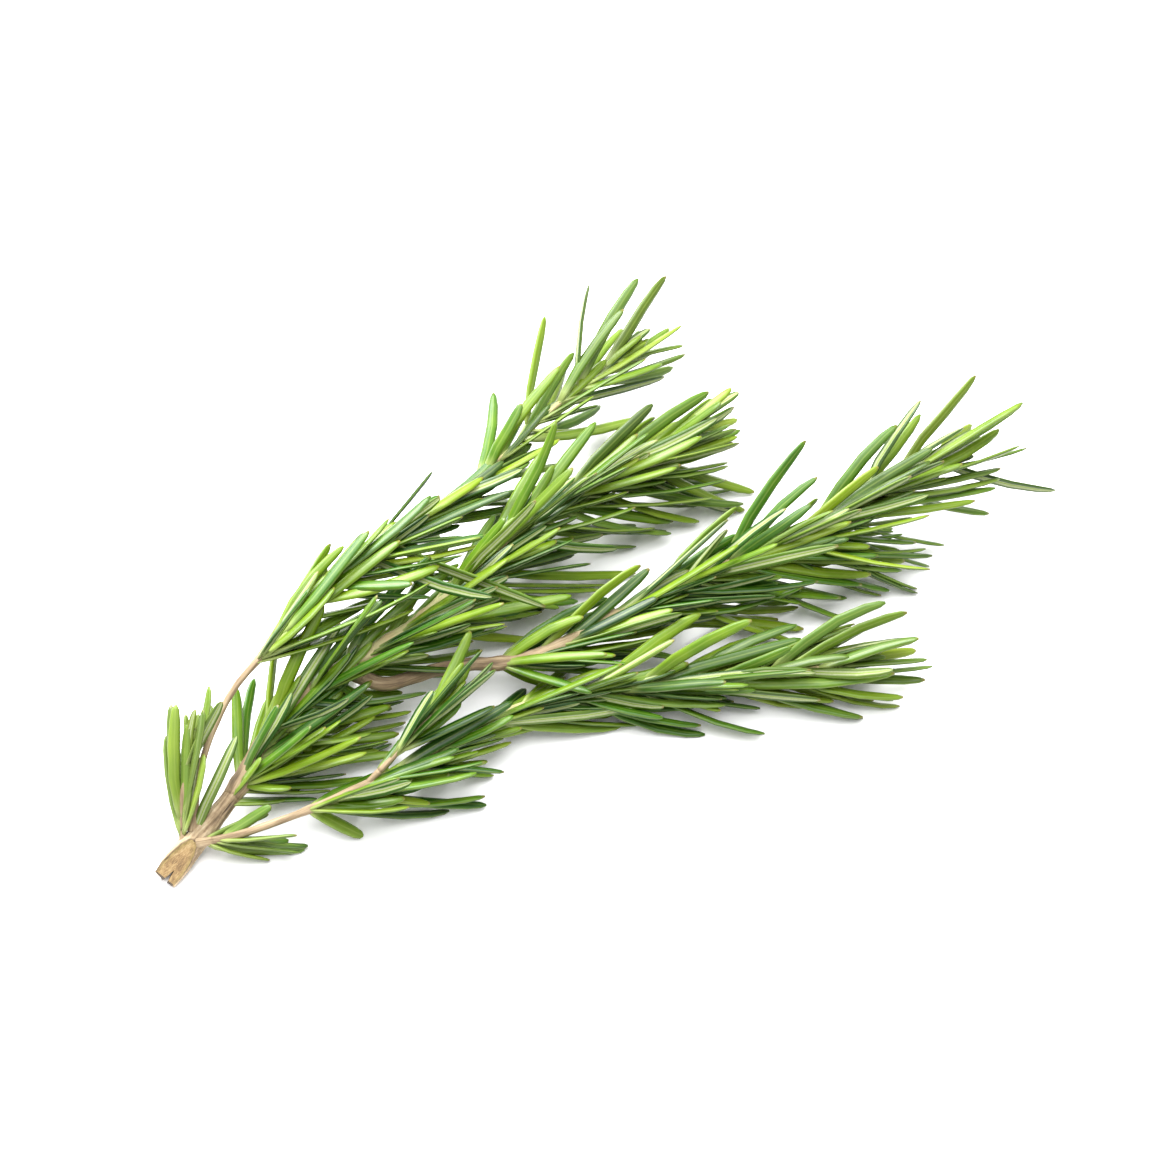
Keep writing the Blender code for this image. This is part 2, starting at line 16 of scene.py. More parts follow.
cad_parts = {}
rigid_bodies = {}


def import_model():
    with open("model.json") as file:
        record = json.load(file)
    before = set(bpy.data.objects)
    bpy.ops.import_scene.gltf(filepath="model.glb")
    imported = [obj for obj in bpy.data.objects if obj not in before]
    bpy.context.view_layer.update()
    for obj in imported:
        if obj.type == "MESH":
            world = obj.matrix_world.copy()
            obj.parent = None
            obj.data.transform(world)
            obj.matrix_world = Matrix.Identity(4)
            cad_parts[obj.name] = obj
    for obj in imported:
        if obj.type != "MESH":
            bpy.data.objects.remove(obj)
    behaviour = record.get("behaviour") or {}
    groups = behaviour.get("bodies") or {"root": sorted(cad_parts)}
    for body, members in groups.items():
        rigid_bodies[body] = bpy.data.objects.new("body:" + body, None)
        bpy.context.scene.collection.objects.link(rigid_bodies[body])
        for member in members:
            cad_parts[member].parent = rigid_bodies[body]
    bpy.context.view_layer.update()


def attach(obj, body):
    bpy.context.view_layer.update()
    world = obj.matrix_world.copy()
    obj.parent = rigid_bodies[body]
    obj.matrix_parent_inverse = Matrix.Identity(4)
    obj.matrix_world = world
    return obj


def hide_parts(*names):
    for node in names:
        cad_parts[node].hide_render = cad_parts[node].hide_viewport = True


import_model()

MM = 0.001
UP = np.array([0.0, 0.0, 1.0])

# The rule that places stems and leaves, with the solids' own values, in millimetres.
LEAF_WIDTH = 2.1
LEAF_THICKNESS = 1.1
REACH_LENGTH = 27.5
FLOOR_CLEAR = 0.3
FLOOR_EASE = 0.8
SKIN_EASE = 0.15
SAMPLE = 1.5
OTHER_GAP = 2.45
OWN_GAP = 1.9
STEM_GAP = 1.5
FREE_FROM = 0.3
ROOT_SCATTER = 0.8
TRIES = 30
REACH_TRIES = 60
LIFT_STEP = 0.12
LOWEST_TIP = -0.5
PRESSED_SIDE = np.array([-0.16, 0.88, 0.44])
PRESSED = 0.5
PRESSED_FROM = 0.25
STUB_MARGIN = 0.5
BUTT_END = 21.0
SLICE_ANGLE = 15.0
SLICE_TURN = 24.0
SLICE_START = -0.1
SPLIT_WIDTH = 1.1
SPLIT_DEPTH = 2.4
SHIFT = np.array([3.4, 0.7, 0.0])

# A leaf's cross-section, from its right edge round over the top: a groove along the middle of the
# upper face, and below it the two margins rolled under, with the channel between them.
LEAF_SECTION = (
    (0.50, -0.04), (0.25, 0.33), (0.0, 0.19), (-0.25, 0.33), (-0.50, -0.04),
    (-0.42, -0.34), (-0.20, -0.34), (0.0, -0.12), (0.20, -0.34), (0.42, -0.34),
)
BROADER = 1.18
TURNED_UP = 0.75
OWN_FACE = 0.55
LEAF_STATIONS = (0.0, 0.12, 0.36, 0.64, 0.86, 0.96, 1.0)
LEAF_WIDTH_SHARES = (0.5, 0.82, 1.0, 0.98, 0.84, 0.58, 0.2)
LEAF_THICKNESS_SHARES = (0.8, 0.95, 1.0, 1.0, 0.92, 0.72, 0.34)
LEAF_TWIST = 26.0
SWAY = 0.035

# Where along the sprig, in metres, leaves begin to pale towards the cut, and are palest.
PALER_TOWARDS_CUT = (-0.070, -0.088)

# The leaves added between the pairs: how far apart they grow, and how near they come to a leaf of
# their own shoot, of another shoot and to another stem.
EXTRA_STEP = 0.95
CLOSE_GAPS = (1.0, 1.2, 0.5)
THICK_UNTIL = {"middle_shoot": 0.8, "upper_left_shoot": 0.5, "right_shoot": 0.8, "front_shoot": 0.7}

# The crowded young leaves at a shoot's tip.
BUD_LEAVES = 7
BUD_SPAN = 6.0
BUD_LENGTH = (7.0, 13.0)
BUD_OPENING = (5.0, 20.0)
GOLDEN_TURN = 137.5

# Stems, in millimetres.
STEM_SIDES = 18
STEM_STEP = 0.8
BUTT_SIDES = 36
BUTT_STEP = 0.45
NODE_SWELL = 0.16
NODE_REACH = 1.3
TIP_TAPER = 3.0
SIDE_STEM = 0.85
FOOT_SWELL = 0.45
FOOT_REACH = 2.5
BUTT_RADIUS = 1.75
BUTT_SWELL = 0.85
BUTT_THICKEST = 5.0
BUTT_REACH = 8.5
STUB_OVERLAP = 0.2

# The butt's faces: bark outside, bared wood where it was cut, with a rim of bark round the cut.
BARK = 0
BARE = 1
RIM = 0.32
RIM_STEP = 0.1
SHARP = math.radians(12)
HALF_WEDGE = 8.0

# The camera stands as in the photograph, and the studio lights stand round the sprig.
ELEVATION = math.radians(58)
AZIMUTH = math.radians(-27)
DISTANCE = 0.56
FRAME_WIDTH = 0.244
SENSOR = 36.0
FLOOR_HALF = 3.0
TARGET = Vector(SHIFT) * MM
RIGHT = Vector((math.cos(AZIMUTH), math.sin(AZIMUTH), 0))
AHEAD = Vector((-math.sin(AZIMUTH), math.cos(AZIMUTH), 0))
SKY = 0.95
KEY_POWER = 9.0
TOP_POWER = 12.5


@dataclass
class Shoot:
    """A leafy stem: where it runs, how thick it is, and how its leaves stand on it."""

    name: str
    parent: str
    route: tuple
    radius: tuple
    first: float
    spacing: tuple
    length: tuple
    opening: tuple
    crowd: tuple
    turn: float
    seed: int
    reach: tuple = ()


# The leaves that make the outline are given by their tips, (x, y, z) with, for a few, the place
# along the stem that they grow from. All the others follow from spacing, length and opening.
SHOOTS = (
    Shoot(
        name="middle_shoot",
        parent="",
        route=(
            (-104, -24, 1.9), (-95, -19.5, 3.4), (-85.5, -15.5, 6.5), (-72.5, -7, 10),
            (-60.5, -3, 12), (-48, -2, 13), (-36, 0, 14), (-24.5, 4.5, 15),
            (-11.5, 9, 15.5), (4, 13, 15), (21, 15.5, 14), (34, 18, 12),
        ),
        radius=(2.4, 1.7, 1.5, 1.2, 0.7),
        first=23.5,
        spacing=(12, 10, 9, 7, 6, 5, 4),
        length=(24, 26, 28, 28, 27, 25, 20, 16),
        opening=(34, 36, 38, 36, 32, 26, 18),
        crowd=(0.9, 0.9, 0.9, 0.9, 0.8),
        turn=40,
        seed=28,
        reach=(
            (27, 22, 20), (40.5, 22, 16), (44.5, 18, 13), (44, 14, 10), (42.5, 4, 0.5),
            (38.5, 1, 0), (22.5, 3.5, 4), (31.5, 9, 22), (40.5, 11, 8), (36.5, 9, 6), (39, 7, 3),
            (30.5, 6.5, 0), (17.5, 2.5, 6), (12.5, 2, 18), (-3, -0.5, 20), (3, 3, 9),
            (0.5, -1.5, 10), (6, -2.5, 5), (-12.5, -5, 6), (-16, -7, 0.5), (-27, -6, 3),
            (-54.5, 7, 22), (-52.5, 4, 20), (-57.5, 3.5, 16), (-67.5, -1, 14), (-71, -7.5, 18),
            (-53.5, -2.5, 17), (-51.5, -8, 13), (-47, -6.5, 13), (-43, -7.5, 14), (-57.5, -8.5, 9),
            (-60, -11.5, 7), (-64, -13.5, 5), (-72.5, -18, 2), (-73, -20, 0), (-63.5, -20.5, 0.5),
            (-59.5, -21, 1), (-49, -10.5, 6), (-53, -11.5, 4), (-52, -16.5, 2), (-62.5, -0.5, 9),
            (-76, 3.5, 12, 24), (-71.5, 5.5, 12, 25), (-58.5, -20, 5, 25), (-75, -21, 3, 24),
            (40.5, 12.5, 5, 123), (38, 1, 0.5, 123), (35.5, 4.5, 2, 115), (31, 2.5, 1, 111),
            (13.5, 3, 1, 99), (10.5, -2.5, 0.5, 89), (4, -2.5, 0.5, 85),
        ),
    ),
    Shoot(
        name="upper_left_shoot",
        parent="middle_shoot",
        route=(
            (-95.5, -18.5, 5), (-90, -10.5, 10), (-84.5, -5.5, 15), (-77, -0.5, 19),
            (-68, 3.5, 21), (-58.5, 8.5, 22), (-46, 14, 21), (-31.5, 18, 19), (-15.5, 22.5, 17),
            (-2.5, 28.5, 15), (7.5, 33.5, 14), (21, 38.5, 13), (30.5, 41.5, 12),
        ),
        radius=(0.8, 0.8, 0.7, 0.5),
        first=37,
        spacing=(19, 14, 9, 7, 6, 5),
        length=(27, 28, 28, 27, 24, 16),
        opening=(8, 10, 14, 20, 28, 26, 16),
        crowd=(0.4, 0.6, 0.6),
        turn=60,
        seed=32,
        reach=(
            (16, 50, 24, 116), (27.5, 52, 26, 132), (39, 51.5, 22), (47, 53.5, 16, 140),
            (44.5, 41.5, 14), (44.5, 39.5, 6), (42.5, 41, 0.5), (28.5, 29, 3), (-12.5, 21.5, 20),
            (-25.5, 18.5, 26), (-22, 2.5, 30), (-24.5, -7.5, 24), (-11, 28, 6), (-51.5, 8, 24),
            (-58, 3, 22), (-40.5, 15, 28), (-40.5, 19, 22), (-34.5, 0.5, 22), (-14.5, -11, 18),
            (-18, 8.5, 20), (1.5, 32, 24, 102), (13, 37, 24), (-21.5, 12, 24, 66),
            (-37.5, 1.5, 18, 58),
        ),
    ),
    Shoot(
        name="right_shoot",
        parent="middle_shoot",
        route=(
            (-54.5, -2, 11), (-49, -7.5, 9), (-39.5, -8.5, 8), (-31.5, -11, 8.5),
            (-24, -14.5, 9), (-14, -16, 10), (-2, -15.5, 11), (8, -15.5, 12),
            (22.5, -16, 13), (37.5, -17, 14), (53, -16, 15), (67, -14.5, 15),
            (77.5, -13.5, 14),
        ),
        radius=(1.7, 1.6, 1.2, 1.0, 0.6),
        first=32,
        spacing=(13, 12, 8, 7, 6, 5, 4),
        length=(24, 26, 28, 28, 27, 24, 16),
        opening=(30, 32, 34, 34, 30, 20, 12),
        crowd=(0.7, 0.9, 1.0, 0.8),
        turn=40,
        seed=228,
        reach=(
            (48.5, -4, 26, 83), (89, -4.5, 24), (74.5, -6, 26, 115), (97, -11.5, 18),
            (95.5, -17.5, 10), (98, -26.5, 5), (83.5, -24, 2), (26.5, -11.5, 22), (66, -29, 0.5),
            (61, -32.5, 0), (90.5, -13.5, 16), (70.5, -27, 3), (7, -11, 18), (-1, -12, 14),
            (-8, -15, 13), (0.5, -12.5, 9), (-6, -21, 1), (2, -20.5, 1), (53.5, -30.5, 0),
            (61, -24.5, 8), (48, -22.5, 10), (54, -25.5, 1), (36, -23.5, 0.5), (87, -20.5, 12),
            (19.5, -14.5, 1), (67.5, -8.5, 22), (36.5, -25.5, 1, 67), (31.5, -26, 0.5, 62),
            (23, -23, 0.5, 58), (65, -27, 5, 91), (84.5, -23, 8, 113), (67.5, -18.5, 4, 103),
            (63, -18.5, 3, 96), (42.5, -17, 24, 83), (26, -12.5, 20, 73),
        ),
    ),
    Shoot(
        name="front_shoot",
        parent="middle_shoot",
        route=(
            (-95.5, -21, 4.5), (-89, -23.5, 6), (-82, -25.5, 8), (-73.5, -26.5, 9),
            (-62.5, -27, 10), (-50, -26.5, 9), (-38, -24.5, 8), (-26.5, -23.5, 7),
            (-14.5, -26, 6.5), (-1, -31, 6.5), (12.5, -36.5, 7), (25, -41.5, 8),
            (37, -45.5, 8),
        ),
        radius=(0.9, 0.9, 0.8, 0.5),
        first=23,
        spacing=(14, 28, 28, 9, 7, 6, 5, 4),
        length=(22, 25, 27, 28, 27, 25, 24, 16),
        opening=(30, 30, 26, 30, 30, 26, 20, 12),
        crowd=(0.6, 0.8, 0.9, 0.7),
        turn=40,
        seed=66,
        reach=(
            (16, -48, 0), (-9, -33.5, 0), (43.5, -55, 0), (35.5, -54, 0), (52, -52.5, 6),
            (50.5, -47.5, 10), (50, -44, 16), (46.5, -41, 18), (20, -33.5, 20), (-41, -37.5, 1),
            (-48, -35, 0), (-31.5, -29.5, 6), (-28.5, -24.5, 12), (-65.5, -32.5, 0.5),
            (13, -25.5, 16), (7.5, -31, 12), (40.5, -40, 13), (28, -49, 6), (28.5, -45.5, 11),
            (14, -39, 0.5), (50, -53.5, 3), (43.5, -51.5, 0.5), (-53, -29.5, 9),
            (-76, -29.5, 0.5, 5.5), (-78, -30, 1.5, 4.5), (-80, -22.5, 9, 5), (-35, -26.5, 11, 37),
            (-40.5, -29, 6, 36), (-42, -36, 3, 27), (38.5, -38.5, 14, 115), (31, -33.5, 10, 104),
            (28, -31, 5, 100), (-8.5, -30.5, 1, 73),
        ),
    ),
    Shoot(
        name="front_side_twig",
        parent="front_shoot",
        route=((-61.5, -27, 10), (-55, -25.5, 13), (-49, -23.5, 14.5), (-43, -20.5, 15)),
        radius=(0.6, 0.5),
        first=3,
        spacing=(6, 5, 4),
        length=(22, 22, 18),
        opening=(20, 18, 12),
        crowd=(0.4, 0.4),
        turn=40,
        seed=3,
        reach=(
            (-31, -16.5, 22), (-38, -20.5, 14),
        ),
    ),
    Shoot(
        name="left_tuft",
        parent="middle_shoot",
        route=((-98, -20, 4), (-96.5, -16, 6), (-94, -12, 10), (-90.5, -7.5, 13)),
        radius=(0.7, 0.5),
        first=5,
        spacing=(5, 5, 4),
        length=(20, 20, 16),
        opening=(12, 12, 9),
        crowd=(0.3, 0.3),
        turn=40,
        seed=25,
        reach=(
            (-89, 0.5, 20), (-85, -4.5, 20),
        ),
    ),
)

# More leaves that the photograph shows, too close to the others for the solids: tips, (x, y, z)
# with, for about half, the place along the stem that they grow from.
SCENE_REACH = {
    "middle_shoot": (
        (-59.5, -21.5, 1.5, 23), (-46, -9.5, 2, 40), (-47.5, -13.5, 1, 33), (-45.5, -8, 6, 47),
        (35.5, 11, 3, 119), (21, 3.5, 1, 105), (-80.5, -8, 14, 8), (-78, -14, 13, 20),
        (-67.5, -21.5, 3, 22), (-70.5, -21.5, 2, 20), (-76.5, -20.5, 5, 19), (-55, -18, 4, 34),
        (-56, -16.5, 8, 33), (-55, -10.5, 12, 44), (-10, -1, 3, 80), (1.5, -3.5, 2, 84),
        (-37, -3, 4, 58), (-39, -1, 9, 60), (33.5, 12.5, 7, 121), (32, 14.5, 10, 118),
        (-49.5, -11.5, 8), (-53.5, -13, 6), (-53, -17.5, 4), (-50, -16, 3),
        (-41.5, -11, 5), (-45.5, -12, 2), (39.5, 9.5, 12), (38, 8.5, 9), (41.5, 11, 13),
        (-11.5, -4, 5), (-4, -4.5, 3), (-9, -6, 2), (36, 0.5, 2), (28, 2, 2), (21, 1.5, 3),
        (-28.5, -4.5, 6), (-61.5, -16, 5), (40.5, 8.5, 11), (37.5, 7.5, 8), (42, 12.5, 14),
        (-51.5, -20, 3), (-53, -10.5, 10), (-30.5, 8.5, 20), (-23.5, 13.5, 18),
    ),
    "upper_left_shoot": (
        (-34, 1, 24, 38), (-38, 1, 19, 36), (-35.5, 11.5, 26, 47), (-25.5, 4, 22, 60),
        (-30.5, 4, 20, 52), (-19.5, 8, 18), (-19.5, 5.5, 16), (-22, 4, 14), (-25.5, 8, 18),
        (27.5, 27.5, 8), (-38.5, 6, 16), (-44, 8, 15), (-50, 8.5, 14), (-57.5, 6.5, 14, 38),
        (-48, 6, 12), (-43, 3.5, 18), (-51.5, 11, 20),
    ),
    "right_shoot": (
        (37, -25.5, 1, 55), (32.5, -20.5, 4, 52), (25.5, -21, 1, 46), (61.5, -24, 3, 100),
        (69, -17, 6, 118), (62, -17, 5, 105), (48, -26.5, 1, 80),
        (60.5, -27.5, 5), (58.5, -29.5, 3), (55, -31, 2), (48.5, -30, 3), (62.5, -27.5, 7),
        (51.5, -28.5, 7), (54, -27.5, 9), (44, -29.5, 2), (38.5, -28.5, 3), (31, -32, 2),
        (35, -30.5, 3), (44, -32.5, 1), (92.5, -18.5, 14), (86.5, -21.5, 10), (64.5, -28.5, 6),
        (64.5, -31, 4), (60.5, -33.5, 1), (93.5, -15, 24),
    ),
    "front_shoot": (
        (31, -49.5, 0.5, 114), (39.5, -51.5, 1, 120), (-77, -30, 1.5, 1.5), (-79, -27, 3, 2),
        (-81, -23, 8, 1.5), (-38.5, -26, 9, 50), (18.5, -34.5, 9, 80), (11, -30, 10, 72),
        (30, -37, 10, 95), (-4.5, -33, 1, 62), (-10.5, -27.5, 1, 55), (7, -37, 2, 75),
        (39.5, -40.5, 14), (38.5, -40, 10), (35.5, -39, 8), (35, -54.5, 0.5), (42, -54.5, 3),
        (-41, -37, 4, 27), (-78.5, -31, 0.5, 3), (-84, -29, 0.5, 2), (22.5, -34.5, 6),
        (28.5, -35.5, 5), (48.5, -47.5, 12), (15.5, -49, 0.5), (5, -41.5, 0.5), (-5.5, -35, 0.5),
        (43.5, -55.5, 1),
    ),
    "left_tuft": (
        (-92.5, -0.5, 12, 1.5), (-89.5, 3, 14, 1.5), (-88, -7, 16, 2), (-88, -10, 14, 2),
        (-88.5, -3.5, 18, 3),
    ),
    "front_side_twig": (
        (-40, -15.5, 12, 8), (-37, -16.5, 15, 10),
    ),
}


def unit(vector):
    return vector / np.linalg.norm(vector)


def along(values, share):
    """The value at this share of the way through an evenly spaced list."""
    place = min(max(share, 0), 1) * (len(values) - 1)
    first = min(int(place), len(values) - 2)
    return values[first] + (values[first + 1] - values[first]) * (place - first)


def smooth_route(route, step=1.0):
    """Points every step along a smooth curve through the route, and how far along each one is."""
    ends = np.array(route, float)
    ends = np.vstack([2 * ends[0] - ends[1], ends, 2 * ends[-1] - ends[-2]])
    t = np.linspace(0, 1, 24, endpoint=False)[:, None]
    spans = []
    for i in range(1, len(ends) - 2):
        a, b, c, d = ends[i - 1 : i + 3]
        bend = (2 * a - 5 * b + 4 * c - d) * t**2 + (3 * b - a - 3 * c + d) * t**3
        spans.append(0.5 * (2 * b + (c - a) * t + bend))
    spans.append(ends[-2:-1])
    fine = np.concatenate(spans)
    run = np.concatenate([[0], np.cumsum(np.linalg.norm(np.diff(fine, axis=0), axis=1))])
    at = np.linspace(0, run[-1], int(run[-1] / step) + 1)
    return np.stack([np.interp(at, run, fine[:, k]) for k in range(3)], 1), at


class Stem:
    """A shoot's stem, measured by the distance along it."""

    def __init__(self, shoot):
        self.shoot = shoot
        self.points, self.at = smooth_route(shoot.route)
        self.length = self.at[-1]
        self.places = np.arange(shoot.first, self.length, 1.0)
        self.place_points = np.array([self.point(s) for s in self.places])
        self.place_tangents = np.array([self.frame(s)[0] for s in self.places])

    def point(self, s):
        return np.array([np.interp(s, self.at, self.points[:, k]) for k in range(3)])

    def frame(self, s):
        ahead = self.point(min(s + 1.5, self.length))
        behind = self.point(max(s - 1.5, 0))
        tangent = unit(ahead - behind)
        up = unit(UP - tangent * (UP @ tangent))
        return tangent, up, np.cross(tangent, up)

    def outward(self, s, azimuth):
        """Straight out from the stem, at this angle round it."""
        _, up, side = self.frame(s)
        around = math.radians(azimuth)
        return math.cos(around) * up + math.sin(around) * side

    def radius(self, s):
        return along(self.shoot.radius, s / self.length)

    def nodes(self):
        """Where along the stem its pairs of leaves grow."""
        shoot = self.shoot
        found = []
        s = shoot.first
        while s < self.length - 0.5:
            found.append(s)
            s += along(shoot.spacing, (s - shoot.first) / (self.length - shoot.first))
        return found


@dataclass
class Leaf:
    """One leaf, as the curve down its middle and the way its upper face looks."""

    shoot: str
    root: np.ndarray
    knee: np.ndarray
    tip: np.ndarray
    face: np.ndarray
    width: float
    tone: float
    length: float
    roll: float

    def points(self, t):
        """Points along the middle, eased on to the surface where they would go below it."""
        t = np.asarray(t, float)[:, None]
        p = (1 - t) ** 2 * self.root + 2 * t * (1 - t) * self.knee + t**2 * self.tip
        over = p[:, 2] - FLOOR_CLEAR
        p[:, 2] = FLOOR_CLEAR + 0.5 * (over + np.sqrt(over**2 + FLOOR_EASE**2))
        return p

    def samples(self):
        return self.points(np.linspace(0, 1, max(int(self.length / SAMPLE), 6)))


def drawn_leaf(stem, s, azimuth, opening, length, bow, roll, width, tone):
    """A leaf that stands out from the stem at these angles."""
    tangent = stem.frame(s)[0]
    out = stem.outward(s, azimuth)
    start = math.radians(opening)
    end = math.radians(opening - bow)
    first = math.cos(start) * tangent + math.sin(start) * out
    second = math.cos(end) * tangent + math.sin(end) * out
    root = stem.point(s)
    knee = root + first * length * 0.5
    tip = knee + second * length * 0.5
    face = unit(tangent - first * (tangent @ first))
    return Leaf(stem.shoot.name, root, knee, tip, face, width, tone, length, roll)


def reaching_leaf(stem, tip, start, rng, lift, bulge, slide):
    """A leaf that ends at a given tip, from the place on the stem that suits its length."""
    tip = np.array(tip, float) + UP * lift
    s = start
    if s is None:
        chords = tip - stem.place_points
        sizes = np.linalg.norm(chords, axis=1)
        turns = (chords * stem.place_tangents).sum(1) / sizes
        angles = np.degrees(np.arccos(np.clip(turns, -1, 1)))
        costs = abs(sizes - REACH_LENGTH - slide) + 0.3 * np.maximum(0, angles - 34)
        s = stem.places[costs.argmin()]
    tangent = stem.frame(s)[0]
    chord = tip - stem.point(s)
    size = np.linalg.norm(chord)
    ahead = chord / size
    out = unit(ahead - tangent * (ahead @ tangent))
    root = stem.point(s)
    knee = root + chord * 0.5 + unit(out - ahead * (out @ ahead)) * size * bulge
    face = unit(tangent - ahead * (tangent @ ahead))
    width = LEAF_WIDTH * rng.uniform(0.95, 1.1)
    tone = rng.random()
    roll = rng.uniform(-35, 35)
    return Leaf(stem.shoot.name, root, knee, tip, face, width, tone, size, roll)


def meets(here, there, gap):
    """Whether any point of the one lot is nearer than the gap to any of the other."""
    low = here.min(0) - gap
    high = here.max(0) + gap
    near = there[((there >= low) & (there <= high)).all(1)]
    if len(near) == 0:
        return False
    return ((here[:, None] - near[None]) ** 2).sum(2).min() < gap**2


class Plant:
    """The stems and the leaves placed so far."""

    def __init__(self, shoots):
        self.stems = {shoot.name: Stem(shoot) for shoot in shoots}
        self.leaves = []
        self.taken = {}
        self.crowded = False
        self.stem_points = {}
        for name, stem in self.stems.items():
            radii = np.array([stem.radius(s) for s in stem.at[6:]])
            self.stem_points[name] = (stem.points[6:], radii)

    def keep(self, leaf):
        self.leaves.append(leaf)
        here = leaf.samples()
        whole, outer = self.taken.get(leaf.shoot, (np.empty((0, 3)), np.empty((0, 3))))
        free = here[int(len(here) * FREE_FROM) :]
        self.taken[leaf.shoot] = (np.vstack([whole, here]), np.vstack([outer, free]))

    def clear(self, leaf):
        """Whether a leaf keeps off the other shoots, and its outer part off its neighbours."""
        gaps = CLOSE_GAPS if self.crowded else (OWN_GAP, OTHER_GAP, STEM_GAP)
        own_gap, other_gap, stem_gap = gaps
        here = leaf.samples()
        free = here[int(len(here) * FREE_FROM) :]
        for name, (whole, outer) in self.taken.items():
            if name == leaf.shoot:
                if meets(free, outer, own_gap):
                    return False
            elif meets(here, whole, other_gap):
                return False
        for name, (there, radii) in self.stem_points.items():
            if name == leaf.shoot:
                continue
            body = free if self.crowded else here
            away = np.sqrt(((body[:, None] - there[None]) ** 2).sum(2)) - radii[None]
            if away.min() < stem_gap:
                return False
        return True

    def reach(self, shoot, tips, rng):
        """Leaves that end at these tips, each bent a little until it is clear."""
        stem = self.stems[shoot.name]
        for place in tips:
            start = place[3] if len(place) > 3 else None
            for n in range(REACH_TRIES):
                lift = rng.gauss(0, LIFT_STEP * n)
                bulge = 0.03 + 0.05 * rng.random()
                slide = rng.gauss(0, 0.12 * n)
                leaf = reaching_leaf(stem, place[:3], start, rng, lift, bulge, slide)
                if leaf.tip[2] > LOWEST_TIP and self.clear(leaf):
                    self.keep(leaf)
                    break

    def fill(self, shoot):
        """The opposite pairs, each turned a quarter from the last, and the leaves between them."""
        stem = self.stems[shoot.name]
        for k, s in enumerate(stem.nodes()):
            share = (s - shoot.first) / max(stem.length - shoot.first, 1)
            rng = random.Random(shoot.seed * 1009 + k)
            base = shoot.turn + 90 * (k % 2) + rng.uniform(-18, 18)
            wanted = []
            for half in (0, 180):
                wanted.append((base + half, 1.0, 1.0))
                crowd = along(shoot.crowd, share)
                while rng.random() < crowd:
                    crowd -= 0.75
                    azimuth = base + half + rng.uniform(-55, 55)
                    wanted.append((azimuth, rng.uniform(0.5, 0.95), rng.uniform(0.5, 1.0)))
            for azimuth, length_share, opening_share in wanted:
                self.place(stem, s, share, azimuth, length_share, opening_share, rng)

    def place(self, stem, s, share, azimuth, length_share, opening_share, rng):
        """One leaf, turned a little at a time until it is clear, or left out."""
        shoot = stem.shoot
        opening_share *= 1 - PRESSED * max(0.0, stem.outward(s, azimuth) @ PRESSED_SIDE)
        length = along(shoot.length, share) * length_share * rng.uniform(0.86, 1.14)
        opening = along(shoot.opening, share) * opening_share + rng.uniform(-6, 6)
        bow = rng.uniform(-6, 16)
        roll = rng.uniform(-35, 35)
        width = LEAF_WIDTH * rng.uniform(0.86, 1.1) * (0.8 + 0.2 * length_share)
        tone = rng.random()
        root = min(s + rng.uniform(-ROOT_SCATTER, ROOT_SCATTER), stem.length - 0.3)
        for n in range(TRIES):
            spread = 1.5 * n
            around = azimuth + rng.gauss(0, spread)
            out = max(4, opening + rng.gauss(0, spread * 0.25))
            leaf = drawn_leaf(stem, root, around, out, length, bow, roll, width, tone)
            if self.clear(leaf):
                self.keep(leaf)
                return

    def thicken(self, shoot):
        """More leaves between the pairs, closer together than the solids' leaves may be."""
        stem = self.stems[shoot.name]
        rng = random.Random(shoot.seed * 53 + 11)
        s = shoot.first + 1.0
        while s < shoot.first + (stem.length - shoot.first) * THICK_UNTIL[shoot.name]:
            share = (s - shoot.first) / max(stem.length - shoot.first, 1)
            length_share = rng.uniform(0.55, 1.0)
            opening_share = rng.uniform(0.35, 0.85)
            azimuth = rng.uniform(0, 360)
            if stem.outward(s, azimuth) @ PRESSED_SIDE > PRESSED_FROM:
                azimuth += 180
            self.place(stem, s, share, azimuth, length_share, opening_share, rng)
            s += EXTRA_STEP * rng.uniform(0.6, 1.4)


def grow(shoots):
    plant = Plant(shoots)
    for shoot in shoots:
        plant.reach(shoot, shoot.reach, random.Random(shoot.seed * 7 + 3))
    for shoot in shoots:
        plant.fill(shoot)
    plant.crowded = True
    for shoot in shoots:
        plant.reach(shoot, SCENE_REACH[shoot.name], random.Random(shoot.seed * 17 + 5))
    for shoot in shoots:
        if shoot.name in THICK_UNTIL:
            plant.thicken(shoot)
    return plant


def lie_on_surface(points):
    """Eases what would go below the surface up on to it."""
    points = np.array(points, float)
    points[:, 2] = 0.5 * (points[:, 2] + np.sqrt(points[:, 2] ** 2 + SKIN_EASE**2))
    return points


def world(points):
    return (np.asarray(points, float) + SHIFT) * MM


def fade(value, start, end):
    """0 at the start, 1 at the end, smooth between."""
    share = np.clip((np.asarray(value, float) - start) / (end - start), 0, 1)
    return share * share * (3 - 2 * share)


def coordinates(mesh):
    flat = np.empty(len(mesh.vertices) * 3)
    mesh.vertices.foreach_get("co", flat)
    return flat.reshape(-1, 3)


def paint_points(mesh, name, values):
    """Stores three numbers on each point, for a material to read."""
    layer = mesh.attributes.new(name, "FLOAT_VECTOR", "POINT")
    layer.data.foreach_set("vector", np.asarray(values, np.float32).ravel())


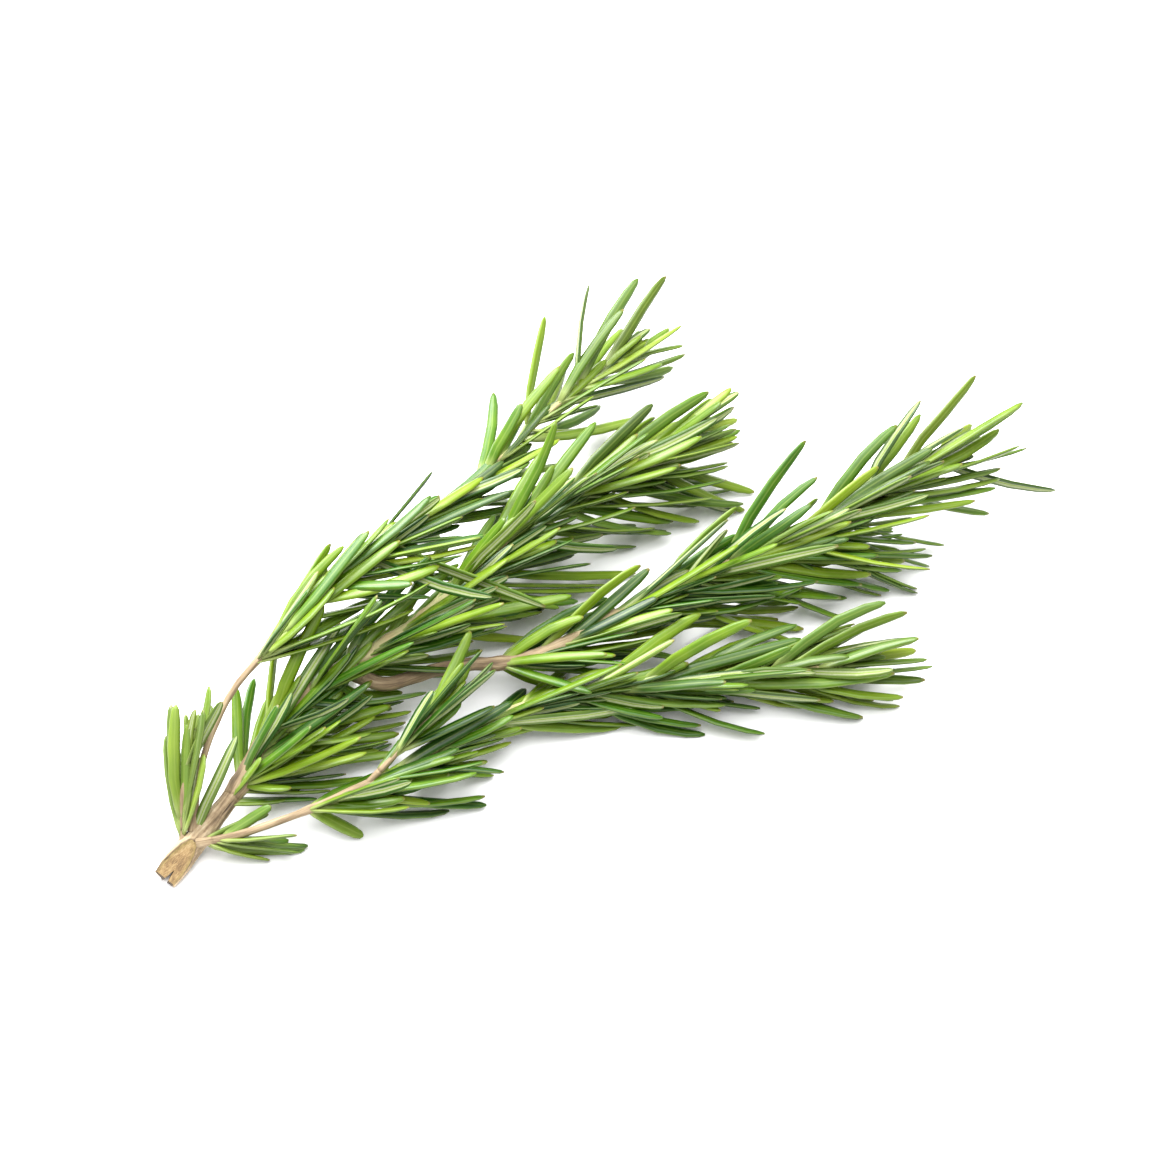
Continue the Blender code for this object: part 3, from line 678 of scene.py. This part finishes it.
def tube(name, sides, rings):
    """A closed tube of unit radius along x, with a ring of points at each whole x."""
    bm = bmesh.new()
    bmesh.ops.create_circle(bm, cap_ends=True, segments=sides, radius=1.0)
    quarter = Matrix.Rotation(math.radians(90), 3, "Y")
    bmesh.ops.rotate(bm, verts=bm.verts, cent=(0, 0, 0), matrix=quarter)
    bm.faces.ensure_lookup_table()
    cap = bm.faces[0]
    for number in range(rings - 1):
        made = bmesh.ops.extrude_face_region(bm, geom=[cap])["geom"]
        if number > 0:
            bm.faces.remove(cap)
        cap = next(item for item in made if isinstance(item, bmesh.types.BMFace))
        bmesh.ops.translate(bm, verts=cap.verts, vec=(1, 0, 0))
    bmesh.ops.recalc_face_normals(bm, faces=bm.faces)
    mesh = bpy.data.meshes.new(name)
    bm.to_mesh(mesh)
    bm.free()
    return mesh


def join_copies(name, meshes, points):
    """One mesh of all these, in this order, with its points put where they belong."""
    bm = bmesh.new()
    for mesh in meshes:
        bm.from_mesh(mesh)
    joined = bpy.data.meshes.new(name)
    bm.to_mesh(joined)
    bm.free()
    joined.vertices.foreach_set("co", points.ravel())
    joined.shade_smooth()
    joined.update()
    return joined


def leaf_pattern():
    """A straight leaf, and for each of its points (share of length, across, over)."""
    mesh = tube("leaf", len(LEAF_SECTION), len(LEAF_STATIONS))
    co = coordinates(mesh)
    ring = np.rint(co[:, 0]).astype(int)
    turn = np.arctan2(co[:, 2], co[:, 1]) / (2 * math.pi) * len(LEAF_SECTION)
    corner = np.rint(turn).astype(int) % len(LEAF_SECTION)
    t = np.array(LEAF_STATIONS)[ring]
    section = np.array(LEAF_SECTION)[corner]
    across = section[:, 0] * np.array(LEAF_WIDTH_SHARES)[ring]
    over = section[:, 1] * np.array(LEAF_THICKNESS_SHARES)[ring]
    return mesh, np.stack([t, across, over], 1), np.stack([t, section[:, 0], section[:, 1]], 1)


def bend_leaf(flat, leaf, twist, sway):
    """The straight leaf carried on to its curve, with a slow twist and sway, in millimetres."""
    t = flat[:, 0]
    sideways = unit(np.cross(leaf.face, leaf.tip - leaf.root))

    def middle_at(shares):
        swayed = np.sin(math.pi * shares) * sway[0] + np.sin(2 * math.pi * shares) * sway[1]
        return leaf.points(shares) + swayed[:, None] * sideways

    middle = middle_at(t)
    tangent = middle_at(np.minimum(t + 0.03, 1)) - middle_at(np.maximum(t - 0.03, 0))
    tangent /= np.linalg.norm(tangent, axis=1)[:, None]
    normal = leaf.face - tangent * (tangent @ leaf.face)[:, None]
    normal /= np.linalg.norm(normal, axis=1)[:, None]
    side = np.cross(normal, tangent)
    roll = np.radians(leaf.roll + twist * (t - 0.4))[:, None]
    across = np.cos(roll) * side + np.sin(roll) * normal
    over = np.cos(roll) * normal - np.sin(roll) * side
    wide = across * (flat[:, 1] * leaf.width * BROADER)[:, None]
    thick = over * (flat[:, 2] * LEAF_THICKNESS)[:, None]
    return middle + wide + thick


def bud_leaves(stem, rng):
    """The small young leaves that crowd the shoot's tip."""
    size = min(1.0, stem.length / 60)
    made = []
    for n in range(BUD_LEAVES):
        share = n / (BUD_LEAVES - 1)
        s = stem.length - 0.3 - BUD_SPAN * size * (1 - share)
        azimuth = GOLDEN_TURN * n + rng.uniform(-12, 12)
        opening = BUD_OPENING[1] + (BUD_OPENING[0] - BUD_OPENING[1]) * share
        length = (BUD_LENGTH[1] + (BUD_LENGTH[0] - BUD_LENGTH[1]) * share) * rng.uniform(0.85, 1.1)
        width = LEAF_WIDTH * (0.66 - 0.16 * share)
        bow = rng.uniform(2, 12)
        roll = rng.uniform(-20, 20)
        made.append(drawn_leaf(stem, s, azimuth, opening, length, bow, roll, width, rng.random()))
    return made


def grown_share(stem, leaf):
    """How far along its stem a leaf grows, from 0 at its first leaves to 1 at its tip."""
    away = np.linalg.norm(stem.points - leaf.root, axis=1)
    s = stem.at[int(away.argmin())]
    return max(0.0, (s - stem.shoot.first) / max(stem.length - stem.shoot.first, 1))


def leaves_piece(plant, name, template):
    """All of a shoot's leaves as one piece."""
    mesh, flat, place = template
    stem = plant.stems[name]
    rng = random.Random(stem.shoot.seed * 31 + 7)
    leaves = [leaf for leaf in plant.leaves if leaf.shoot == name] + bud_leaves(stem, rng)
    points = []
    kinds = []
    for leaf in leaves:
        twist = rng.uniform(-LEAF_TWIST, LEAF_TWIST)
        if rng.random() < TURNED_UP:
            leaf.face = OWN_FACE * leaf.face + UP
        sway = leaf.length * rng.uniform(-SWAY, SWAY), leaf.length * rng.uniform(-SWAY, SWAY) * 0.4
        points.append(world(lie_on_surface(bend_leaf(flat, leaf, twist, sway))))
        young = grown_share(stem, leaf)
        kinds.append(np.tile((leaf.tone, young, rng.random()), (len(flat), 1)))
    joined = join_copies(name + "_leaves", [mesh] * len(leaves), np.concatenate(points))
    paint_points(joined, "leaf", np.tile(place, (len(leaves), 1)))
    paint_points(joined, "kind", np.concatenate(kinds))
    return joined


def butt_radius(s):
    return BUTT_RADIUS + BUTT_SWELL * math.exp(-(((s - BUTT_THICKEST) / BUTT_REACH) ** 2))


def middle_radius(stem):
    """The middle stem takes over from the butt without a step."""
    return lambda s: butt_radius(s) + (stem.radius(s) - butt_radius(s)) * float(fade(s, 19, 30))


def side_radius(stem):
    """A side stem's radius, with the swelling at its foot."""
    return lambda s: SIDE_STEM * stem.radius(s) * (1 + FOOT_SWELL * math.exp(-s / FOOT_REACH))


def stub_end(parent, stem):
    """How far along a side stem its first free point outside the parent stem is."""
    for s in np.arange(1.0, stem.length, 0.25):
        away = np.linalg.norm(parent.points - stem.point(s), axis=1)
        radii = np.array([parent.radius(a) for a in parent.at])
        if (away - radii).min() > stem.radius(s) + STUB_MARGIN:
            return s
    return 0.0


def woodiness(stem, s):
    """1 where the stem has bark, falling along the leafy part towards the green tip."""
    return 1.0 - 0.85 * float(fade(s, stem.shoot.first + 4, stem.shoot.first + 62))


def bark_height(stem, s, angle, radius):
    """How far the bark stands out of or into the round stem, in millimetres."""
    wood = woodiness(stem, s)
    seed = stem.shoot.seed
    x = math.cos(angle)
    y = math.sin(angle)
    strips = noise.noise(Vector((x * 2.2 * radius, y * 2.2 * radius, s * 0.16 + seed)))
    fibres = noise.noise(Vector((x * 5.5 * radius, y * 5.5 * radius, s * 0.45 + seed * 2)))
    lumps = noise.noise(Vector((x * 0.8, y * 0.8, s * 0.22 + seed * 3)))
    square = math.cos(4 * angle + stem.shoot.turn) * (1 - wood)
    rough = wood * (0.13 * strips + 0.07 * fibres) * min(radius, 1.6)
    return rough + 0.1 * lumps * radius + 0.06 * square * radius


def stem_tube(stem, start, end, radius_at, sides=STEM_SIDES, step=STEM_STEP):
    """A length of stem: its mesh, its points in millimetres, and what its bark reads."""
    count = max(int(round((end - start) / step)), 2) + 1
    mesh = tube("stem", sides, count)
    co = coordinates(mesh)
    ring = np.rint(co[:, 0]).astype(int)
    angles = np.arctan2(co[:, 2], co[:, 1])
    stations = np.linspace(start, end, count)
    frames = [stem.frame(s) for s in stations]
    centres = [stem.point(s) for s in stations]
    nodes = np.array(stem.nodes() or [-99.0])
    points = np.empty_like(co)
    grain = np.empty_like(co)
    kind = np.empty_like(co)
    for i, (k, angle) in enumerate(zip(ring, angles)):
        s = stations[k]
        radius = radius_at(s)
        swell = math.exp(-((np.abs(nodes - s).min() / NODE_REACH) ** 2))
        taper = 1 - 0.7 * float(fade(s, stem.length - TIP_TAPER, stem.length))
        height = bark_height(stem, s, angle, radius)
        full = (radius * (1 + NODE_SWELL * swell) + height) * taper
        _, up, side = frames[k]
        points[i] = centres[k] + full * (math.cos(angle) * side + math.sin(angle) * up)
        grain[i] = (radius * math.cos(angle), radius * math.sin(angle), s + stem.shoot.seed * 10)
        kind[i] = (woodiness(stem, s), swell, height)
    return mesh, points, grain, kind


def stems_piece(name, lengths):
    """Lengths of stem joined as one piece."""
    points = world(lie_on_surface(np.concatenate([length[1] for length in lengths])))
    joined = join_copies(name, [length[0] for length in lengths], points)
    paint_points(joined, "grain", np.concatenate([length[2] for length in lengths]))
    paint_points(joined, "kind", np.concatenate([length[3] for length in lengths]))
    return joined


def slice_off(bm, place, facing):
    """Removes what lies beyond a plane and closes the cut. Gives the face that closes it."""
    everything = bm.verts[:] + bm.edges[:] + bm.faces[:]
    made = bmesh.ops.bisect_plane(
        bm,
        geom=everything,
        dist=1e-7,
        plane_co=Vector(place),
        plane_no=Vector(facing),
        clear_outer=True,
    )
    edges = [item for item in made["geom_cut"] if isinstance(item, bmesh.types.BMEdge)]
    return bmesh.ops.edgeloop_fill(bm, edges=edges)["faces"]


def split_wedge(stem, tangent, across, facing):
    """The wedge that splits the tip of the cut end."""
    bm = bmesh.new()
    corners = []
    outline = ((-4, -SPLIT_WIDTH), (SPLIT_DEPTH, -0.05), (SPLIT_DEPTH, 0.05), (-4, SPLIT_WIDTH))
    for a, b in outline:
        place = stem.point(0.0) + tangent * a + across * (b + 0.4) - facing * HALF_WEDGE
        corners.append(bm.verts.new(world(place)))
    face = bm.faces.new(corners)
    made = bmesh.ops.extrude_face_region(bm, geom=[face])["geom"]
    raised = [item for item in made if isinstance(item, bmesh.types.BMVert)]
    bmesh.ops.translate(bm, verts=raised, vec=Vector(facing * 2 * HALF_WEDGE * MM))
    bmesh.ops.recalc_face_normals(bm, faces=bm.faces)
    for each in bm.faces:
        each.material_index = BARE
    mesh = bpy.data.meshes.new("split_wedge")
    bm.to_mesh(mesh)
    bm.free()
    return bpy.data.objects.new("split_wedge", mesh)


def cut_end(mesh, stem):
    """Slices the end of the butt, leaves a rim of bark round the bared wood, and splits the tip."""
    tangent, up, side = stem.frame(1.0)
    turn = math.radians(SLICE_TURN)
    lean = math.radians(SLICE_ANGLE)
    facing = math.cos(turn) * up + math.sin(turn) * side
    across = np.cross(tangent, facing)
    lift = math.cos(lean) * facing - math.sin(lean) * tangent
    bm = bmesh.new()
    bm.from_mesh(mesh)
    for face in bm.faces:
        if face.normal.dot(Vector(-tangent)) > 0.8:
            face.material_index = BARE
    bared = slice_off(bm, world(stem.point(0.0) + facing * SLICE_START), lift)
    bmesh.ops.recalc_face_normals(bm, faces=bm.faces)
    for face in bared:
        face.material_index = BARE
    rim = bmesh.ops.inset_region(bm, faces=bared, thickness=RIM * MM, depth=-RIM_STEP * MM)
    for face in rim["faces"]:
        face.material_index = BARK
    slice_off(bm, (0, 0, 0), (0, 0, -1))
    bmesh.ops.recalc_face_normals(bm, faces=bm.faces)
    bm.to_mesh(mesh)
    bm.free()
    body = bpy.data.objects.new("butt_body", mesh)
    wedge = split_wedge(stem, tangent, across, facing)
    for each in (body, wedge):
        bpy.context.scene.collection.objects.link(each)
    split = body.modifiers.new("split", "BOOLEAN")
    split.operation = "DIFFERENCE"
    split.object = wedge
    bpy.context.view_layer.update()
    graph = bpy.context.evaluated_depsgraph_get()
    cut = bpy.data.meshes.new_from_object(body.evaluated_get(graph))
    for each in (body, wedge):
        bpy.data.objects.remove(each)
    return cut


def read_bark(mesh, stem):
    """What the bark and the bared wood read, for a mesh whose points were moved by cutting."""
    points = coordinates(mesh) / MM - SHIFT
    grain = np.empty_like(points)
    kind = np.empty_like(points)
    for i, point in enumerate(points):
        s = float(stem.at[int(np.linalg.norm(stem.points - point, axis=1).argmin())])
        tangent, up, side = stem.frame(s)
        away = point - stem.point(s)
        s += away @ tangent
        grain[i] = (away @ side, away @ up, s + stem.shoot.seed * 10)
        kind[i] = (1.0, 0.0, np.linalg.norm(away) - butt_radius(s))
    return grain, kind


def butt_piece(plant, stubs):
    """The woody butt with its cut end and the feet of the side stems."""
    stem = plant.stems["middle_shoot"]
    mesh, points, _, _ = stem_tube(stem, 0.0, BUTT_END, butt_radius, BUTT_SIDES, BUTT_STEP)
    mesh.vertices.foreach_set("co", world(points).ravel())
    mesh.update()
    cut = cut_end(mesh, stem)
    grain, kind = read_bark(cut, stem)
    lengths = []
    for name, end in stubs.items():
        side = plant.stems[name]
        lengths.append(stem_tube(side, 0.0, end, side_radius(side)))
    points = np.concatenate([coordinates(cut)] + [world(lie_on_surface(a[1])) for a in lengths])
    joined = join_copies("butt", [cut] + [a[0] for a in lengths], points)
    paint_points(joined, "grain", np.concatenate([grain] + [a[2] for a in lengths]))
    paint_points(joined, "kind", np.concatenate([kind] + [a[3] for a in lengths]))
    joined.set_sharp_from_angle(angle=SHARP)
    return joined


def srgb(red, green, blue):
    """A colour as seen on a screen, out of 255, for a shader."""
    shares = [value / 255 for value in (red, green, blue)]
    linear = [v / 12.92 if v <= 0.04045 else ((v + 0.055) / 1.055) ** 2.4 for v in shares]
    return (*linear, 1.0)


class Number:
    """A number in a material. Sums on it add Math nodes."""

    def __init__(self, paint, socket):
        self.paint = paint
        self.socket = socket

    def math(self, operation, *values):
        places = dict(enumerate(values))
        made = self.paint.node("ShaderNodeMath", {"operation": operation}, places)
        return Number(self.paint, made.outputs[0])

    def __add__(self, other):
        return self.math("ADD", self, other)

    def __sub__(self, other):
        return self.math("SUBTRACT", self, other)

    def __rsub__(self, other):
        return self.math("SUBTRACT", other, self)

    def __mul__(self, other):
        return self.math("MULTIPLY", self, other)

    def __abs__(self):
        return self.math("ABSOLUTE", self)

    __radd__ = __add__
    __rmul__ = __mul__

    def fade(self, start, end):
        """0 at the start, 1 at the end, smooth between."""
        settings = {"interpolation_type": "SMOOTHSTEP"}
        places = {"Value": self, "From Min": start, "From Max": end}
        if start > end:
            places = {"Value": self, "From Min": end, "From Max": start}
            places.update({"To Min": 1.0, "To Max": 0.0})
        made = self.paint.node("ShaderNodeMapRange", settings, places)
        return Number(self.paint, made.outputs[0])


class Paint:
    """A material and the nodes in it."""

    def __init__(self, name):
        self.material = bpy.data.materials.new(name)
        self.material.use_nodes = True
        self.tree = self.material.node_tree
        self.shader = self.tree.nodes["Principled BSDF"]

    def put(self, socket, value):
        if isinstance(value, Number):
            value = value.socket
        if isinstance(value, bpy.types.NodeSocket):
            self.tree.links.new(value, socket)
        else:
            socket.default_value = value

    def node(self, kind, settings, values):
        """A node of this kind: its settings first, then the values or links of its sockets."""
        made = self.tree.nodes.new(kind)
        for name, value in settings.items():
            if name == "stops":
                ramp = made.color_ramp
                while len(ramp.elements) < len(value):
                    ramp.elements.new(1.0)
                for element, (place, colour) in zip(ramp.elements, value):
                    element.position = place
                    element.color = colour
            else:
                setattr(made, name, value)
        for place, value in values.items():
            self.put(made.inputs[place], value)
        return made

    def finish(self, **values):
        for name, value in values.items():
            self.put(self.shader.inputs[name.replace("_", " ")], value)
        return self.material

    def stored(self, name):
        """The three numbers stored on the points under this name, and all of them as a vector."""
        vector = self.node("ShaderNodeAttribute", {"attribute_name": name}, {}).outputs["Vector"]
        parts = self.node("ShaderNodeSeparateXYZ", {}, {0: vector})
        return [Number(self, output) for output in parts.outputs] + [vector]

    def place(self):
        return self.node("ShaderNodeTexCoord", {}, {}).outputs["Object"]

    def stretched(self, vector, scale):
        return self.node("ShaderNodeMapping", {}, {"Vector": vector, "Scale": scale}).outputs[0]

    def noise(self, vector, scale, detail=2.0, roughness=0.5):
        values = {"Vector": vector, "Scale": scale, "Detail": detail, "Roughness": roughness}
        return Number(self, self.node("ShaderNodeTexNoise", {}, values).outputs[0])

    def mix(self, share, first, second):
        """The first colour where the share is 0, the second where it is 1."""
        values = {0: share, 6: first, 7: second}
        return self.node("ShaderNodeMix", {"data_type": "RGBA"}, values).outputs[2]

    def ramp(self, share, *stops):
        return self.node("ShaderNodeValToRGB", {"stops": stops}, {0: share}).outputs[0]

    def bump(self, height, strength, distance):
        values = {"Height": height, "Strength": strength, "Distance": distance}
        return self.node("ShaderNodeBump", {}, values).outputs[0]


def leaf_paint():
    """Glossy green above, paler at its foot, midrib and near the cut, with pale felt below, painted
    shade darkening the lower flanks and a painted highlight partly lightening the upper margins.
    """
    paint = Paint("rosemary_leaf")
    t, across, over, _ = paint.stored("leaf")
    tone, young, lot, _ = paint.stored("kind")
    place = paint.place()
    pores = paint.noise(place, 2600, 2.0)
    cloud = paint.noise(place, 160, 2.0)
    lengthways = {0: across * 7.0, 1: t * 5.0, 2: lot * 40.0}
    veins = paint.node("ShaderNodeCombineXYZ", {}, lengthways).outputs[0]
    lines = paint.noise(veins, 1.6, 3.0)
    shade = tone * 0.7 + cloud * 0.4 + lines * 0.25 - 0.28
    upper = paint.ramp(
        shade,
        (0.0, srgb(8, 46, 0)),
        (0.35, srgb(48, 92, 0)),
        (0.65, srgb(98, 126, 10)),
        (1.0, srgb(136, 148, 62)),
    )
    upper = paint.mix(young.fade(0.35, 1.0) * 0.25, upper, srgb(118, 132, 44))
    upper = paint.mix(lot.fade(0.7, 0.95) * 0.3, upper, srgb(124, 142, 12))
    upper = paint.mix(lot.fade(0.25, 0.05) * 0.3, upper, srgb(88, 110, 58))
    # Painted shade: each leaf's lower flanks, below its edges, are darkened to deep green.
    painted_shade_flank = over.fade(0.08, -0.2)
    upper = paint.mix(painted_shade_flank * 0.55, upper, srgb(14, 54, 0))
    lengthwise = Number(paint, paint.node("ShaderNodeSeparateXYZ", {}, {0: place}).outputs[0])
    upper = paint.mix(lengthwise.fade(*PALER_TOWARDS_CUT) * 0.28, upper, srgb(150, 162, 84))
    midrib = abs(across).fade(0.09, 0.02) * over.fade(0.0, 0.1)
    upper = paint.mix(midrib * 0.22, upper, srgb(150, 166, 84))
    # Pale upper margins: partly the felted margins' own paler colour, partly a painted highlight
    # along each leaf's edges.
    pale_margin_and_highlight = abs(across).fade(0.40, 0.49) * over.fade(-0.2, 0.0) * 0.3
    upper = paint.mix(pale_margin_and_highlight, upper, srgb(152, 166, 92))
    felt = over.fade(-0.04, -0.10) * abs(across).fade(0.24, 0.16)
    below = paint.mix(pores, srgb(126, 138, 92), srgb(162, 170, 130))
    below = paint.mix(abs(across).fade(0.06, 0.03), below, srgb(120, 142, 50))
    colour = paint.mix(felt, upper, below)
    foot = t.fade(0.26, 0.04)
    colour = paint.mix(foot * 0.7, colour, srgb(152, 164, 98))
    point = t.fade(0.965, 1.0) * lot.fade(0.25, 0.8)
    colour = paint.mix(point * 0.7, colour, srgb(122, 104, 58))
    height = lines * 0.7 + pores * 0.3
    return paint.finish(
        Base_Color=colour,
        Roughness=0.34 + felt * 0.4 + pores * 0.1,
        Specular_IOR_Level=0.3,
        Normal=paint.bump(height, 0.3, 0.0001),
        Coat_Weight=0.08 * (1 - felt),
        Coat_Roughness=0.2,
    )


def bark_paint():
    """Stringy tan bark on the woody part, green and downy towards the tips."""
    paint = Paint("rosemary_bark")
    _, _, _, grain = paint.stored("grain")
    wood, swell, height, _ = paint.stored("kind")
    place = paint.place()
    strings = paint.noise(paint.stretched(grain, (2.6, 2.6, 0.16)), 1.0, 4.0, 0.6)
    fibres = paint.noise(paint.stretched(grain, (7.0, 7.0, 0.5)), 1.0, 3.0)
    cloud = paint.noise(place, 130, 2.0)
    shade = strings * 0.6 + fibres * 0.25 + cloud * 0.35 + height * 0.9 - 0.1
    bark = paint.ramp(
        shade,
        (0.2, srgb(66, 54, 40)),
        (0.42, srgb(122, 102, 76)),
        (0.6, srgb(156, 136, 106)),
        (0.85, srgb(186, 170, 142)),
    )
    green = paint.mix(fibres, srgb(146, 152, 88), srgb(196, 190, 140))
    green = paint.mix(swell * 0.5, green, srgb(170, 140, 100))
    colour = paint.mix(wood, green, bark)
    return paint.finish(
        Base_Color=colour,
        Roughness=0.82 - 0.15 * strings,
        Normal=paint.bump(strings * 0.6 + fibres * 0.4, 0.6, 0.00025),
    )


def wood_paint():
    """Freshly cut wood, ochre, with fibres along the stem, browner and greener towards the bark."""
    paint = Paint("cut_wood")
    across, deep, _, grain = paint.stored("grain")
    fibres = paint.noise(paint.stretched(grain, (5.0, 5.0, 0.3)), 1.0, 4.0, 0.65)
    blotch = paint.noise(paint.stretched(grain, (0.9, 0.9, 0.4)), 1.0, 2.0)
    colour = paint.ramp(
        fibres * 0.9 + blotch * 0.6 - 0.25,
        (0.25, srgb(84, 64, 42)),
        (0.45, srgb(128, 102, 66)),
        (0.6, srgb(156, 130, 88)),
        (0.8, srgb(178, 158, 118)),
    )
    edge = (across * across + deep * deep).fade(2.2, 6.0)
    colour = paint.mix(edge * 0.6, colour, srgb(122, 112, 58))
    return paint.finish(
        Base_Color=colour,
        Roughness=0.7 + 0.15 * fibres,
        Normal=paint.bump(fibres, 0.7, 0.0002),
    )


def add_piece(name, mesh, materials, node):
    piece = bpy.data.objects.new(name, mesh)
    bpy.context.scene.collection.objects.link(piece)
    for material in materials:
        mesh.materials.append(material)
    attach(piece, "root")
    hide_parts(node)
    return piece


def dress(plant):
    """All the pieces, over the nodes they stand for."""
    leaf = leaf_paint()
    bark = bark_paint()
    wood = wood_paint()
    stubs = {}
    for shoot in SHOOTS[1:]:
        stubs[shoot.name] = stub_end(plant.stems[shoot.parent], plant.stems[shoot.name])
    on_butt = {name: stubs[name] for name in ("upper_left_shoot", "front_shoot", "left_tuft")}
    butt = add_piece("butt", butt_piece(plant, on_butt), (bark, wood), "woody_butt")
    template = leaf_pattern()
    for shoot in SHOOTS:
        stem = plant.stems[shoot.name]
        if shoot.parent:
            start, radius_at = stubs[shoot.name], side_radius(stem)
        else:
            start, radius_at = BUTT_END, middle_radius(stem)
        lengths = [stem_tube(stem, start - STUB_OVERLAP, stem.length, radius_at)]
        for other in SHOOTS:
            if other.parent == shoot.name and other.name not in on_butt:
                side = plant.stems[other.name]
                lengths.append(stem_tube(side, 0.0, stubs[other.name], side_radius(side)))
        stems = add_piece(
            shoot.name + "_stem", stems_piece(shoot.name + "_stem", lengths), (bark,), shoot.name
        )
        leaves = add_piece(
            shoot.name + "_leaves", leaves_piece(plant, shoot.name, template), (leaf,), shoot.name
        )


def floor():
    bm = bmesh.new()
    bmesh.ops.create_grid(bm, x_segments=2, y_segments=2, size=FLOOR_HALF)
    mesh = bpy.data.meshes.new("floor")
    bm.to_mesh(mesh)
    bm.free()
    paint = Paint("white_table")
    shade = paint.noise(paint.place(), 3.0, 1.0)
    surface = paint.mix(shade, srgb(240, 240, 241), srgb(244, 244, 245))
    mesh.materials.append(paint.finish(Base_Color=surface, Roughness=0.9))
    obj = bpy.data.objects.new("floor", mesh)
    bpy.context.scene.collection.objects.link(obj)


def area_light(name, offset, size, power):
    """A soft light at this offset from the sprig: right, ahead and above, as the camera sees it."""
    data = bpy.data.lights.new(name, "AREA")
    data.shape = "DISK"
    data.size = size
    data.energy = power
    light = bpy.data.objects.new(name, data)
    right, ahead, above = offset
    place = TARGET + RIGHT * right + AHEAD * ahead + Vector((0, 0, above))
    light.location = place
    light.rotation_euler = (TARGET - place).to_track_quat("-Z", "Y").to_euler()
    bpy.context.scene.collection.objects.link(light)


def studio():
    """The camera at the photograph's angle, a pale floor and soft light."""
    scene = bpy.context.scene
    floor()
    world_look = bpy.data.worlds.new("studio")
    world_look.use_nodes = True
    background = world_look.node_tree.nodes["Background"]
    background.inputs["Color"].default_value = (1.0, 1.0, 1.0, 1.0)
    background.inputs["Strength"].default_value = SKY
    scene.world = world_look
    area_light("key", (-0.22, 0.32, 0.42), 0.36, KEY_POWER)
    area_light("top", (0.05, 0.05, 0.9), 0.9, TOP_POWER)
    back = -AHEAD * math.cos(ELEVATION) + Vector((0, 0, math.sin(ELEVATION)))
    up = back.cross(RIGHT)
    camera_data = bpy.data.cameras.new("camera")
    camera_data.sensor_width = SENSOR
    camera_data.lens = SENSOR * DISTANCE / FRAME_WIDTH
    camera = bpy.data.objects.new("camera", camera_data)
    turn = Matrix((RIGHT, up, back)).transposed().to_4x4()
    camera.matrix_world = Matrix.Translation(TARGET + back * DISTANCE) @ turn
    scene.collection.objects.link(camera)
    scene.camera = camera
    scene.view_settings.view_transform = "Standard"


dress(grow(SHOOTS))
studio()
